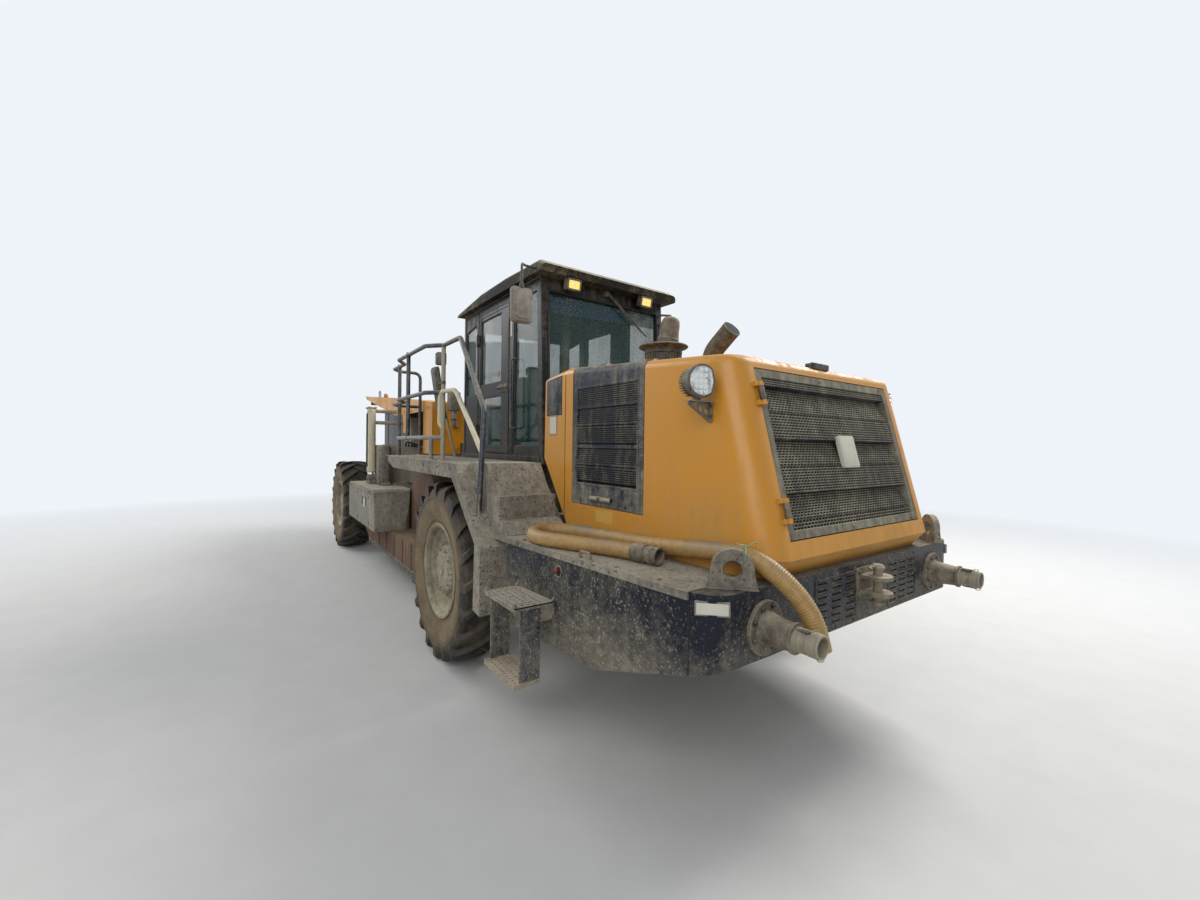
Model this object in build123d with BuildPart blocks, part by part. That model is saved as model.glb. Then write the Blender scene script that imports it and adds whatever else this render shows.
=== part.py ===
from build123d import *
import os
from math import atan2, cos, hypot, pi, radians, sin, tan

# Wheeled road reclaimer: engine hood in front, cab, milling drum between the axles, tail cover.
# Millimetres. X points forward, Y to the machine's left, Z up, the ground is Z = 0.

# Overall
front_tip_x = 4880
rear_tip_x = -4880

# Wheels, tyres and steering
front_axle_x = 1634
rear_axle_x = -4076
tyre_radius = 775
tyre_width = 468
tyre_outer_y = 1484
rim_seat_radius = 380
rim_flange_radius = 410
rim_wall = 14
rim_width = 400
rim_disc_offset = 70
rim_disc_thickness = 24
hub_radius = 175
hub_nose_y = 1420
wheel_sides = 24
tread_sides = 40
lug_count = 20
tread_lug_height = 34
kingpin_y = 1000
kingpin_radius = 32
yoke_radius = 75
yoke_half_gap = 115
yoke_thickness = 50
knuckle_radius = 105
knuckle_flange_y = 1190
spindle_radius = 60
spindle_end_y = 1300
running_clearance = 0.05
pin_sides = 16
axle_tube_radius = 110
differential_radius = 230

# Frame
rail_inner_y = 350
rail_width = 150
rail_bottom_z = 1000
deck_z = 1262
arch_bottom_z = 1640
arch_top_z = 1900
frame_front_x = 2876
frame_rear_x = -4600
plate = 12

# Front bumper box
bumper_face_x = 4600
bumper_rear_half = 1383
bumper_seam_x = 4462
bumper_seam_half = 1258
bumper_bottom_z = 690
bumper_rise_x = 3826
bumper_face_bottom_z = 936
bumper_corner = 150
deck_lip = 36
deck_overhang = 14
louvre_columns_y = (-430, -290, -150, 360, 480, 600)
louvre_rows = 7
louvre_pitch = 36
louvre_width = 86
louvre_depth = 12
port_y = 914
port_z = 1079
port_flange_radius = 125
port_radius = 52
lug_x = 4537
lug_y = 1065
lug_eye_radius = 42
lug_radius = 95
lug_base_half = 113
lug_turn = 45
lug_top_z = 1444
lug_thickness = 40
clevis_length = 150
clevis_width = 150
clevis_plate = 22
clevis_z = (1090, 1180)

# Engine hood
hood_half = 881
hood_wall = 25
hood_corner_radius = 140
hood_edge_radius = 55
door_gap = 5
grille_half = 707
grille_bottom_z = 1448
grille_top_z = 2305
grille_bottom_x = 4595
grille_top_x = 4368
grille_thickness = 45
side_door_front_x = 3715
side_door_rear_x = 2910
side_door_bottom_z = 1474
side_door_top_y = 700

hood_peak_x = 2831
hood_peak_z = 2478
hood_rear_x = 2505
hood_rear_top_z = 2435
hood_front_x = 4351
hood_front_z = 2372
hood_nose_x = 4620
hood_nose_z = 1359
hood_chin_x = 4540
hood_bottom_z = deck_z + 2
hood_knee_z = 1789
cleaner_x = 2930
cleaner_neck_radius = 150
cleaner_neck_top_z = 2682
cleaner_cap_radius = 205
cleaner_cap_top_z = 2757
exhaust_x = 3320
exhaust_radius = 75

# Cab
cab_half = 720
cab_rear_x = 240
cab_front_x = 2180
cab_front_top_x = 2110
cab_floor_z = 1723
cab_wall = 48
glass_thickness = 8
cab_door_rear_x = 700
cab_door_front_x = 1480
cab_door_bottom_z = 1800
cab_door_top_z = 3320
cab_header = 80
cab_top_z = cab_door_top_z + cab_header
screen_top_z = cab_door_top_z - 40
roof_half = 800
roof_rear_x = 200
roof_front_x = 2240
roof_crown = 130
roof_top_z = cab_top_z + roof_crown

# Platforms, steps and rails
platform_z = 1735
platform_outer_y = 1480
platform_inner_y = 725
platform_rear_x = -184
strip_rear_x = -900
strip_outer_y = 1350
platform_break_x = 2110
arch_knee_x = 2540
arch_knee_z = 1164
fender_knee_x = 2610
fender_knee_z = 1190
fender_front_x = 2650
fender_bottom_z = 663
lip_depth = 100
stair_inner_y = 885
stair_outer_y = 1350
tube_radius = 21

# Milling unit
housing_plate = 25
drum_x = -650
drum_z = 935
drum_side_gap = 50
drum_shell_radius = 480
drum_tip_radius = 575
drum_shaft_radius = 60
housing_inner_half = 1200
hood_inner_half = 915
drum_half = hood_inner_half - drum_side_gap
housing_front_x = 80
housing_rear_x = -2900
housing_bottom_z = 325
chamber_roof_z = 690
chamber_front_x = drum_x - 820
housing_skin = 20
pod_bottom_z = chamber_roof_z
flap_thickness = 20
pod_front_x = -1120
pod_rear_x = -3120
pod_outer_y = 1440
pod_side_gap = 10
pod_inner_y = hood_inner_half + housing_plate + pod_side_gap
pod_top_z = 1250
mast_x = -2330
mast_y = 1250
barrel_radius = 58
barrel_bottom_z = 1440
barrel_top_z = 2430
rod_radius = 35
guide_offset = 130
tank_post_radius = 90
tank_post_x = -2000
tank_post_y = 1130
tank_post_top_z = 1870

# Tail
cover_half = 900
cover_wall = 25
cover_front_x = -420
cover_rear_x = -4790
cover_box_z = 1760

os.makedirs("parts", exist_ok=True)
written = []


def save(builder, name):
    # Label a finished piece and write it to its own file
    builder.part.label = name
    export_step(builder.part, f"parts/{name}.step")
    written.append(builder.part)


def block(x_range, y_range, z_range):
    # Plain box between three pairs of limits
    size = [high - low for low, high in (x_range, y_range, z_range)]
    centre = [(high + low) / 2 for low, high in (x_range, y_range, z_range)]
    return Pos(*centre) * Box(*size, mode=Mode.PRIVATE)


def both_sides(piece):
    # A piece on the right side and its mirror image on the left
    return [piece, mirror(piece, about=Plane.XZ, mode=Mode.PRIVATE)]


def side_plate(points, y_low, y_high):
    # Outline in X and Z, as thick as the two Y limits
    with BuildPart(mode=Mode.PRIVATE) as panel:
        with BuildSketch(Plane.XZ.offset(-y_high)):
            with BuildLine():
                Polyline(*points, close=True)
            make_face()
        extrude(amount=y_high - y_low)
    return panel.part


def bar(points, radius, sides=8):
    # Straight runs of a many-sided bar with mitred corners
    with BuildPart(mode=Mode.PRIVATE) as run:
        with BuildLine() as route:
            Polyline(*points)
        with BuildSketch(Plane(origin=route.line @ 0, z_dir=route.line % 0)):
            RegularPolygon(radius, sides)
        sweep(path=route.line, transition=Transition.RIGHT)
    return run.part


def prism(radius, height, sides=pin_sides):
    # Many-sided bar along Z, centred on its place
    with BuildPart(mode=Mode.PRIVATE) as solid:
        with BuildSketch():
            RegularPolygon(radius, sides)
        extrude(amount=height / 2, both=True)
    return solid.part


def around(radius, sides=pin_sides):
    # Corner radius of a many-sided bore whose flats clear a pin of this radius
    return (radius + running_clearance) / cos(pi / sides)


def turned(place, steps, sides):
    # Many-sided turned form from (distance along the plane's normal, corner radius)
    with BuildPart(mode=Mode.PRIVATE) as form:
        for (low, low_radius), (high, high_radius) in zip(steps, steps[1:]):
            if high > low:
                with BuildSketch(place.offset(low)):
                    RegularPolygon(low_radius, sides)
                with BuildSketch(place.offset(high)):
                    RegularPolygon(high_radius, sides)
                loft(ruled=True)
    return form.part


# Hinge: a pin with two end blocks on the fixed side, a barrel with a leaf on the moving side.
# Local frame: Z along the pin, X towards the moving leaf, Y into the surface.
hinge_height = 20
hinge_pin_radius = 8
hinge_barrel_radius = 14
hinge_barrel = 70
hinge_end = 24
hinge_play = 3
hinge_leaf = 42
hinge_sides = 12


def hinge_fixed(place):
    with BuildPart(mode=Mode.PRIVATE) as fixed:
        end_z = hinge_barrel / 2 + hinge_play + hinge_end / 2
        add(prism(hinge_pin_radius, hinge_barrel + 2 * hinge_play + 2 * hinge_end, hinge_sides))
        for z in (end_z, -end_z):
            add(Pos(0, 0, z) * prism(hinge_barrel_radius, hinge_end, hinge_sides))
            with Locations((-hinge_leaf / 2, hinge_height / 2, z)):
                Box(hinge_leaf, hinge_height, hinge_end)
    return place.location * fixed.part


def hinge_moving(place):
    with BuildPart(mode=Mode.PRIVATE) as moving:
        add(prism(hinge_barrel_radius, hinge_barrel, hinge_sides))
        with Locations((hinge_leaf / 2 + hinge_barrel_radius / 2, hinge_height / 2, 0)):
            Box(hinge_leaf - hinge_barrel_radius, hinge_height, hinge_barrel)
        with Locations((hinge_leaf / 2, hinge_barrel_radius / 2, 0)):
            Box(hinge_leaf, hinge_barrel_radius, hinge_barrel)
        bore = prism(around(hinge_pin_radius, hinge_sides), hinge_barrel, hinge_sides)
        add(bore, mode=Mode.SUBTRACT)
    return place.location * moving.part


# Main frame: two rails that arch over the drum, cross-members, outriggers
rail_outline = [
    (frame_front_x, rail_bottom_z),
    (700, rail_bottom_z),
    (100, arch_bottom_z),
    (-1400, arch_bottom_z),
    (-1900, rail_bottom_z),
    (frame_rear_x, rail_bottom_z),
    (frame_rear_x, deck_z),
    (-2000, deck_z),
    (-1450, arch_top_z),
    (0, arch_top_z),
    (750, deck_z),
    (frame_front_x, deck_z),
]
rail_outer_y = rail_inner_y + rail_width
outrigger_top_z = platform_z - plate
outrigger_depth = 80
outrigger_x = (420, 1900)
column_x = (mast_x - 120, mast_x + 120)
column_inner_y = 420
column_outer_y = mast_y - barrel_radius
column_top_z = 1860
rail = side_plate(rail_outline, -rail_outer_y, -rail_inner_y)
cross_members = [
    block((frame_front_x - 160, frame_front_x), (-rail_inner_y, rail_inner_y), (1020, 1240)),
    block((450, 600), (-rail_inner_y, rail_inner_y), (1300, 1400)),
    block((-1300, -1100), (-rail_inner_y, rail_inner_y), (1660, 1880)),
    block((mast_x - 100, mast_x + 100), (-rail_inner_y, rail_inner_y), (1020, 1240)),
    block((frame_rear_x, frame_rear_x + 160), (-rail_inner_y, rail_inner_y), (1020, 1240)),
]
with BuildPart() as main_frame:
    add(both_sides(rail))
    add(cross_members)
    for x in outrigger_x:
        top = outrigger_top_z
        add(block((x - 50, x + 50), (-1400, 1400), (top - outrigger_depth, top)))
        foot = block((x - 60, x + 60), (-rail_outer_y, -rail_inner_y), (deck_z - 60, top - 20))
        add(both_sides(foot))
    strip_arm = block(
        (strip_rear_x + 240, strip_rear_x + 320),
        (-strip_outer_y + 40, -rail_inner_y),
        (outrigger_top_z - outrigger_depth, outrigger_top_z),
    )
    add(both_sides(strip_arm))
save(main_frame, "main_frame")

# Mast columns: box posts outboard of the rear rails that hold the lift cylinders
with BuildPart() as mast_columns:
    add(block(column_x, (-column_outer_y, -column_inner_y), (deck_z, column_top_z)))
    post = block((mast_x - 60, mast_x + 60), (-680, -560), (column_top_z, barrel_top_z - 120))
    add(post)
    for z, inner_y in ((barrel_top_z - 40, cover_half), (barrel_top_z - 220, 620)):
        add(bar([(mast_x, -column_outer_y, z), (mast_x, -inner_y, z)], 28))
    edges_up = mast_columns.edges().filter_by(Axis.Z).group_by(Axis.Y)[0]
    fillet(edges_up, 40)
    shelf_x = (column_x[1] - 20, tank_post_x + tank_post_radius)
    shelf_y = (-tank_post_y - 60, -tank_post_y + 60)
    add(block(shelf_x, shelf_y, (deck_z, deck_z + 30)))
    upright = Plane(origin=(tank_post_x, -tank_post_y, 0))
    dome = [
        (deck_z + 10, tank_post_radius),
        (tank_post_top_z - 70, tank_post_radius),
        (tank_post_top_z - 25, tank_post_radius - 25),
        (tank_post_top_z, tank_post_radius - 60),
    ]
    add(turned(upright, dome, 16))
    mirror(about=Plane.XZ)
save(mast_columns, "mast_columns")

# Front bumper box, solid ballast, with its tapered sides, raised belly and round corners
plan = [
    (frame_front_x, -bumper_rear_half),
    (bumper_seam_x, -bumper_seam_half),
    (bumper_face_x, -bumper_seam_half + 12),
    (bumper_face_x, bumper_seam_half - 12),
    (bumper_seam_x, bumper_seam_half),
    (frame_front_x, bumper_rear_half),
]
bumper_profile = [
    (bumper_seam_x, deck_z),
    (bumper_seam_x, deck_z - plate),
    (frame_front_x, deck_z - plate),
    (frame_front_x, bumper_bottom_z),
    (bumper_rise_x, bumper_bottom_z),
    (bumper_face_x, bumper_face_bottom_z),
    (bumper_face_x, deck_z),
]
with BuildPart() as front_bumper:
    with BuildSketch(Plane.XY.offset(bumper_bottom_z)):
        with BuildLine():
            Polyline(*plan, close=True)
        make_face()
    extrude(amount=deck_z - bumper_bottom_z)
    corner_edges = front_bumper.edges().filter_by(Axis.Z).group_by(Axis.X)[-1]
    fillet(corner_edges, bumper_corner)
    add(
        side_plate(bumper_profile, -bumper_rear_half - 10, bumper_rear_half + 10),
        mode=Mode.INTERSECT,
    )
    louvre_z = port_z + 15
    with BuildSketch(Plane.YZ.offset(bumper_face_x)):
        for y in louvre_columns_y:
            for row in range(louvre_rows):
                with Locations((y, louvre_z + (row - (louvre_rows - 1) / 2) * louvre_pitch)):
                    Rectangle(louvre_width, louvre_pitch * 0.55)
    extrude(amount=-louvre_depth, mode=Mode.SUBTRACT)
save(front_bumper, "front_bumper")

# Deck plate behind the seam, with a lip that hangs over the bumper's tapered sides
with BuildPart() as front_deck:
    for amount, bottom_z in ((deck_overhang, deck_z - plate), (deck_overhang, deck_z - deck_lip)):
        with BuildSketch(Plane.XY.offset(bottom_z)):
            with BuildLine():
                Polyline(*plan, close=True)
            make_face()
            offset(amount=amount, kind=Kind.INTERSECTION)
            if bottom_z < deck_z - plate:
                with BuildLine():
                    Polyline(*plan, close=True)
                make_face(mode=Mode.SUBTRACT)
        extrude(amount=deck_z - bottom_z)
    for low, high in ((bumper_seam_x, bumper_face_x + 200), (frame_front_x - 100, frame_front_x)):
        add(block((low, high), (-2000, 2000), (deck_z - 50, deck_z + 50)), mode=Mode.SUBTRACT)
save(front_deck, "front_deck")

# Lifting lugs with round tops and large eyes
lug_across = Vector(cos(radians(lug_turn)), sin(radians(lug_turn)), 0)
lug_out = Vector(sin(radians(lug_turn)), -cos(radians(lug_turn)), 0)
lug_plane = Plane(origin=(lug_x, -lug_y, 0), x_dir=tuple(lug_across), z_dir=tuple(lug_out))
with BuildPart() as lifting_lugs:
    eye_z = lug_top_z - lug_radius
    with BuildSketch(lug_plane.offset(-lug_thickness / 2)):
        with Locations((0, eye_z)):
            Circle(lug_radius)
        with BuildLine():
            Polyline(
                (-lug_base_half, deck_z),
                (lug_base_half, deck_z),
                (lug_radius, eye_z),
                (-lug_radius, eye_z),
                close=True,
            )
        make_face()
        with Locations((0, eye_z)):
            Circle(lug_eye_radius, mode=Mode.SUBTRACT)
        with Locations((0, deck_z - lug_radius)):
            Rectangle(3 * lug_radius, 2 * lug_radius, mode=Mode.SUBTRACT)
    extrude(amount=lug_thickness)
    mirror(about=Plane.XZ)
save(lifting_lugs, "lifting_lugs")

# Tow clevis: two ears with a pin that stands in them
with BuildPart() as tow_clevis:
    for z in clevis_z:
        with BuildSketch(Plane.XY.offset(z)):
            with Locations((bumper_face_x + clevis_length / 2 - 20, 0)):
                Rectangle(clevis_length - 40, clevis_width)
            with Locations((bumper_face_x + clevis_length - 75, 0)):
                Circle(clevis_width / 2)
        extrude(amount=clevis_plate)
    with Locations((bumper_face_x + clevis_length - 75, 0, sum(clevis_z) / 2 + clevis_plate / 2)):
        Cylinder(24, 230)
    with Locations((bumper_face_x + plate / 2, 0, sum(clevis_z) / 2 + clevis_plate / 2)):
        Box(plate, clevis_width + 40, 180)
save(tow_clevis, "tow_clevis")

# Hose ports: round flange, stub and camlock end, one each side of the face
stub_steps = [
    (0, port_flange_radius),
    (18, port_flange_radius),
    (18, 74),
    (150, 60),
    (150, 68),
    (168, 68),
    (168, port_radius),
    (front_tip_x - bumper_face_x, port_radius),
    (front_tip_x - bumper_face_x, 40),
    (front_tip_x - bumper_face_x - 120, 40),
    (front_tip_x - bumper_face_x - 120, 0),
    (0, 0),
]
with BuildPart() as hose_ports:
    with BuildSketch(Plane.XY):
        with BuildLine():
            Polyline(*[(bumper_face_x + x, r) for x, r in stub_steps], close=True)
        make_face()
    revolve(axis=Axis.X)
stub = hose_ports.part
with BuildPart() as hose_ports:
    add([Pos(0, -port_y, port_z) * stub, Pos(0, port_y, port_z) * stub])
save(hose_ports, "hose_ports")

# Engine hood shell
lean = atan2(grille_bottom_x - grille_top_x, grille_top_z - grille_bottom_z)
def hood_solid(inset):
    # Hood form; the inset shrinks every wall but leaves the bottom open
    low = 40 if inset else 0
    rear, front, top = inset, inset, inset
    points = [
        (frame_front_x + 2 + rear, hood_bottom_z - low),
        (hood_rear_x - 8 + rear, hood_knee_z),
        (hood_rear_x + rear, hood_rear_top_z - top),
        (hood_peak_x, hood_peak_z - top),
        (hood_front_x - front, hood_front_z - top),
        (hood_nose_x - front * 1.1, hood_nose_z + front / 4),
        (hood_chin_x - front * 1.4, hood_bottom_z - low),
    ]
    half = hood_half - inset
    with BuildPart(mode=Mode.PRIVATE) as form:
        with BuildSketch(Plane.XZ.offset(-half)):
            with BuildLine():
                Polyline(*points, close=True)
            make_face()
        extrude(amount=2 * half)
        corner = form.edges().filter_by(GeomType.LINE)
        front_edges = [
            e for e in corner
            if abs(abs(e.center().Y) - half) < 1
            and e.center().X > hood_front_x
            and e.center().Z > hood_bottom_z + 18
        ]
        fillet(front_edges, hood_corner_radius - inset)
        top_face = form.faces().filter_by(lambda f: f.normal_at().Z > 0.9).sort_by(Axis.X)[-1]
        rear_top = form.faces().filter_by(lambda f: f.normal_at().Z > 0.9).sort_by(Axis.X)[0]
        peak = [e for e in top_face.edges() if abs(e.center().Y) < 1 and e.center().X < hood_front_x - 400]
        rear = [
            e for e in rear_top.edges()
            if abs(abs(e.center().Y) - half) < 1
        ]
        rounded = [e for e in top_face.edges() if e not in peak]
        fillet(rounded + rear, hood_edge_radius - inset)
    return form.part


hood_outer = hood_solid(0)
hood_inner = hood_solid(hood_wall)
grille_centre = ((grille_bottom_x + grille_top_x) / 2, 0, (grille_bottom_z + grille_top_z) / 2)
grille_height = hypot(grille_bottom_x - grille_top_x, grille_top_z - grille_bottom_z)
grille_plane = Plane(
    origin=grille_centre, x_dir=(0, 1, 0), z_dir=(cos(lean), 0, sin(lean))
)
grille_space = grille_plane.location * Box(
    2 * (grille_half + door_gap), grille_height + 2 * door_gap, 400
)
door_x = (side_door_rear_x, side_door_front_x)
above_hood_z = hood_peak_z + 122
side_space = block(door_x, (-hood_half - 119, -side_door_top_y), (side_door_bottom_z, above_hood_z))
side_trim = block(
    (door_x[0] + door_gap, door_x[1] - door_gap),
    (-hood_half - 119, -side_door_top_y - door_gap),
    (side_door_bottom_z + door_gap, above_hood_z),
)
hood_shell = hood_outer - hood_inner
side_slope = atan2(hood_peak_z - hood_front_z, hood_front_x - hood_peak_x)


def hood_top_z(x):
    return hood_peak_z - (x - hood_peak_x) * tan(side_slope)


def side_hinge_place(x, side):
    # Top hinge of a hood side door: pin along the hood's edge
    pin = (cos(side_slope), 0, -sin(side_slope))
    out = (sin(side_slope), 0, cos(side_slope))
    origin = Vector(x, side * (side_door_top_y + door_gap / 2), hood_top_z(x))
    origin = origin + Vector(*out) * hinge_height
    z_dir = Vector(*pin) * (-side)
    return Plane(origin=origin, x_dir=(0, side, 0), z_dir=z_dir)


side_hinge_x = (3060, 3565)
grille_hinge_offset = 300


def grille_hinge_place(shift):
    # Side hinge of the front grille, on its near edge
    out = Vector(cos(lean), 0, sin(lean))
    along = Vector(-sin(lean), 0, cos(lean))
    origin = Vector(*grille_centre) + along * shift + out * hinge_height
    origin = origin + Vector(0, -grille_half - door_gap / 2, 0)
    return Plane(origin=origin, x_dir=(0, 1, 0), z_dir=along)


with BuildPart() as hood:
    add(hood_shell)
    add(grille_space, mode=Mode.SUBTRACT)
    add(both_sides(side_space), mode=Mode.SUBTRACT)
    for x in side_hinge_x:
        for side in (-1, 1):
            add(hinge_fixed(side_hinge_place(x, side)))
    for shift in (-grille_hinge_offset, grille_hinge_offset):
        add(hinge_fixed(grille_hinge_place(shift)))
save(hood, "hood")

# Mesh field of a side door, the ridges that cross it and its latch bar
field_x = (2980, 3650)
field_z = (1625, 2300)
field_depth = 12
ridge_z = (1755, 1890, 2031, 2168)
ridge_width = 22
latch_x = (3164, 3399)
latch_z = (1515, 1545)
latch_height = 12
field_levels = [field_z[0]]
for z in ridge_z:
    field_levels += [z - ridge_width / 2, z + ridge_width / 2]
field_levels.append(field_z[1])
field_rows = list(zip(field_levels[::2], field_levels[1::2]))
for side, name in ((-1, "hood_door_right"), (1, "hood_door_left")):
    trim = side_trim if side < 0 else mirror(side_trim, about=Plane.XZ)
    with BuildPart() as hood_door:
        add(hood_shell & trim)
        skin_y = sorted((side * hood_half, side * (hood_half - field_depth)))
        for row in field_rows:
            add(block(field_x, skin_y, row), mode=Mode.SUBTRACT)
        add(block(latch_x, sorted((side * hood_half, side * (hood_half + latch_height))), latch_z))
        for x in side_hinge_x:
            add(hinge_moving(side_hinge_place(x, side)))
    save(hood_door, name)

# Grille door: a frame round a recess that three sloping bars cross
grille_border = 70
grille_recess = 28
grille_bars = (-200, 40, 250)
grille_bar_width = 44
with BuildPart() as front_grille:
    with BuildSketch(grille_plane):
        Rectangle(2 * grille_half, grille_height)
    extrude(amount=-grille_thickness)
    with BuildSketch(grille_plane):
        Rectangle(2 * (grille_half - grille_border), grille_height - 2 * grille_border)
        with Locations(*[(0, v) for v in grille_bars]):
            Rectangle(2 * grille_half, grille_bar_width, mode=Mode.SUBTRACT)
    extrude(amount=-grille_recess, mode=Mode.SUBTRACT)
    for shift in (-grille_hinge_offset, grille_hinge_offset):
        add(hinge_moving(grille_hinge_place(shift)))
save(front_grille, "front_grille")

# Engine and cooler, plain blocks at their real places
with BuildPart() as engine_block:
    add(block((2850, 4000), (-430, 430), (deck_z, 2180)))
    add(block((4090, 4260), (-680, 680), (deck_z, 2270)))
save(engine_block, "engine_block")

# Cab: floor and four walls with window and door openings
screen_lean = (cab_front_x - cab_front_top_x) / (cab_top_z - cab_floor_z)


def cab_front_at(z):
    return cab_front_x - (z - cab_floor_z) * screen_lean


window_sill_z = cab_door_bottom_z + 80
window_head_z = screen_top_z + 10
side_window = [
    (cab_door_front_x + 120, window_sill_z),
    (cab_front_at(window_sill_z) - 75, window_sill_z),
    (cab_front_at(window_head_z) - 75, window_head_z),
    (cab_door_front_x + 120, window_head_z),
]
quarter_window = [
    (cab_rear_x + 60, 2450),
    (cab_door_rear_x - 80, 2450),
    (cab_door_rear_x - 80, screen_top_z - 30),
    (cab_rear_x + 60, screen_top_z - 80),
]
screen_half = cab_half - 70
screen_bottom_z = cab_floor_z + 117
rear_window_half = cab_half - 120
rear_window_z = (2350, screen_top_z - 30)
cab_hinge_z = (cab_door_bottom_z + 250, cab_door_top_z - 270)


def cab_hinge_place(z, side):
    # Rear hinge of a cab door, pin upright
    return Plane(
        origin=(cab_door_rear_x - door_gap / 2, side * (cab_half + hinge_height), z),
        x_dir=(1, 0, 0),
        z_dir=(0, 0, -side),
    )


cab_inside_z = cab_floor_z + 60
with BuildPart() as cab_floor:
    add(block((cab_rear_x, cab_front_at(cab_inside_z)), (-cab_half, cab_half), (cab_floor_z, cab_inside_z)))
save(cab_floor, "cab_floor")

# Side walls run the whole length, front and rear walls stand between them
side_wall_outline = [
    (cab_rear_x, cab_inside_z),
    (cab_front_at(cab_inside_z), cab_inside_z),
    (cab_front_top_x, cab_top_z),
    (cab_rear_x, cab_top_z),
]
doorway = block((cab_door_rear_x, cab_door_front_x), (-900, 900), (cab_door_bottom_z, cab_door_top_z))
for side, word in ((-1, "right"), (1, "left")):
    wall_y = sorted((side * cab_half, side * (cab_half - cab_wall)))
    with BuildPart() as cab_side:
        add(side_plate(side_wall_outline, *wall_y))
        add(side_plate(side_window, -900, 900), mode=Mode.SUBTRACT)
        add(side_plate(quarter_window, -900, 900), mode=Mode.SUBTRACT)
        add(doorway, mode=Mode.SUBTRACT)
        for z in cab_hinge_z:
            add(hinge_fixed(cab_hinge_place(z, side)))
    save(cab_side, f"cab_side_{word}")

inner_half = cab_half - cab_wall
front_wall_outline = [
    (cab_front_at(cab_inside_z), cab_inside_z),
    (cab_front_top_x, cab_top_z),
    (cab_front_top_x - cab_wall, cab_top_z),
    (cab_front_at(cab_inside_z) - cab_wall, cab_inside_z),
]
with BuildPart() as cab_front:
    add(side_plate(front_wall_outline, -inner_half, inner_half))
    screen_x = (cab_front_top_x - 200, cab_front_x + 200)
    screen_hole = block(screen_x, (-screen_half, screen_half), (screen_bottom_z, screen_top_z))
    add(screen_hole, mode=Mode.SUBTRACT)
save(cab_front, "cab_front")
with BuildPart() as cab_rear:
    add(block((cab_rear_x, cab_rear_x + cab_wall), (-inner_half, inner_half), (cab_inside_z, cab_top_z)))
    rear_hole = block((0, 400), (-rear_window_half, rear_window_half), rear_window_z)
    add(rear_hole, mode=Mode.SUBTRACT)
save(cab_rear, "cab_rear")

# Fixed glass, each pane as large as its opening
pane_y = cab_half - 20
screen_pane = [
    (cab_front_at(screen_bottom_z) - 28, screen_bottom_z),
    (cab_front_at(screen_bottom_z) - 28 + glass_thickness, screen_bottom_z),
    (cab_front_at(screen_top_z) - 28 + glass_thickness, screen_top_z),
    (cab_front_at(screen_top_z) - 28, screen_top_z),
]
with BuildPart() as cab_glass:
    add(side_plate(screen_pane, -screen_half, screen_half))
    add(both_sides(side_plate(side_window, -pane_y - glass_thickness, -pane_y)))
    add(both_sides(side_plate(quarter_window, -pane_y - glass_thickness, -pane_y)))
    add(
        block(
            (cab_rear_x + 20, cab_rear_x + 20 + glass_thickness),
            (-rear_window_half, rear_window_half),
            rear_window_z,
        )
    )
save(cab_glass, "cab_glass")

# Cab doors with two windows each
door_window_x = (cab_door_rear_x + 60, cab_door_front_x - 190)
door_upper_z = (2540, cab_door_top_z - 70)
door_lower_z = (cab_door_bottom_z + 80, 2400)
for side, word in ((-1, "right"), (1, "left")):
    outer_y = sorted((side * cab_half, side * (cab_half - cab_wall)))
    glass_y = sorted((side * pane_y, side * (pane_y + glass_thickness)))
    with BuildPart() as cab_door:
        add(
            block(
                (cab_door_rear_x + door_gap, cab_door_front_x - door_gap),
                outer_y,
                (cab_door_bottom_z + door_gap, cab_door_top_z - door_gap),
            )
        )
        for z_range in (door_upper_z, door_lower_z):
            add(block(door_window_x, (-900, 900), z_range), mode=Mode.SUBTRACT)
        for z in cab_hinge_z:
            add(hinge_moving(cab_hinge_place(z, side)))
    save(cab_door, f"cab_door_{word}")
    with BuildPart() as door_glass:
        for z_range in (door_upper_z, door_lower_z):
            add(block(door_window_x, glass_y, z_range))
    save(door_glass, f"door_glass_{word}")

# Cab roof: crowned cap with a visor over the windscreen
roof_outline = [
    (roof_rear_x, cab_top_z),
    (roof_front_x, cab_top_z),
    (roof_front_x + 20, cab_top_z + 60),
    (roof_front_x - 60, roof_top_z - 20),
    (1500, roof_top_z),
    (900, roof_top_z - 8),
    (roof_rear_x + 40, cab_top_z + 55),
]
with BuildPart() as cab_roof:
    add(side_plate(roof_outline, -roof_half, roof_half))
    top_edges = [
        e for e in cab_roof.edges()
        if abs(abs(e.center().Y) - roof_half) < 1 and e.center().Z > cab_top_z + 70
    ]
    fillet(top_edges, 50)
save(cab_roof, "cab_roof")

# Driver's seat and steering console
with BuildPart() as driver_seat:
    add(block((780, 1160), (-200, 200), (cab_floor_z + 60, 2080)))
    add(block((720, 1260), (-260, 260), (2080, 2210)))
    with BuildSketch(Plane.XZ.offset(-250)):
        with BuildLine():
            Polyline((700, 2150), (840, 2150), (760, 2850), (640, 2830), close=True)
        make_face()
    extrude(amount=500)
    fillet(driver_seat.edges().filter_by(Axis.Y).group_by(Axis.Z)[-1], 40)
save(driver_seat, "driver_seat")
with BuildPart() as steering_console:
    add(block((1720, 1920), (-120, 120), (cab_floor_z + 60, 2300)))
    wheel_plane = Plane(origin=(1640, 0, 2420), x_dir=(0, 1, 0), z_dir=(-0.5, 0, 0.866))
    add(bar([(1780, 0, 2200), tuple(wheel_plane.origin)], 30))
    with BuildSketch(wheel_plane.offset(-12)):
        RegularPolygon(206, 16)
        RegularPolygon(176, 16, mode=Mode.SUBTRACT)
        Rectangle(370, 30)
        Rectangle(30, 370)
    extrude(amount=24)
save(steering_console, "steering_console")

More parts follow.
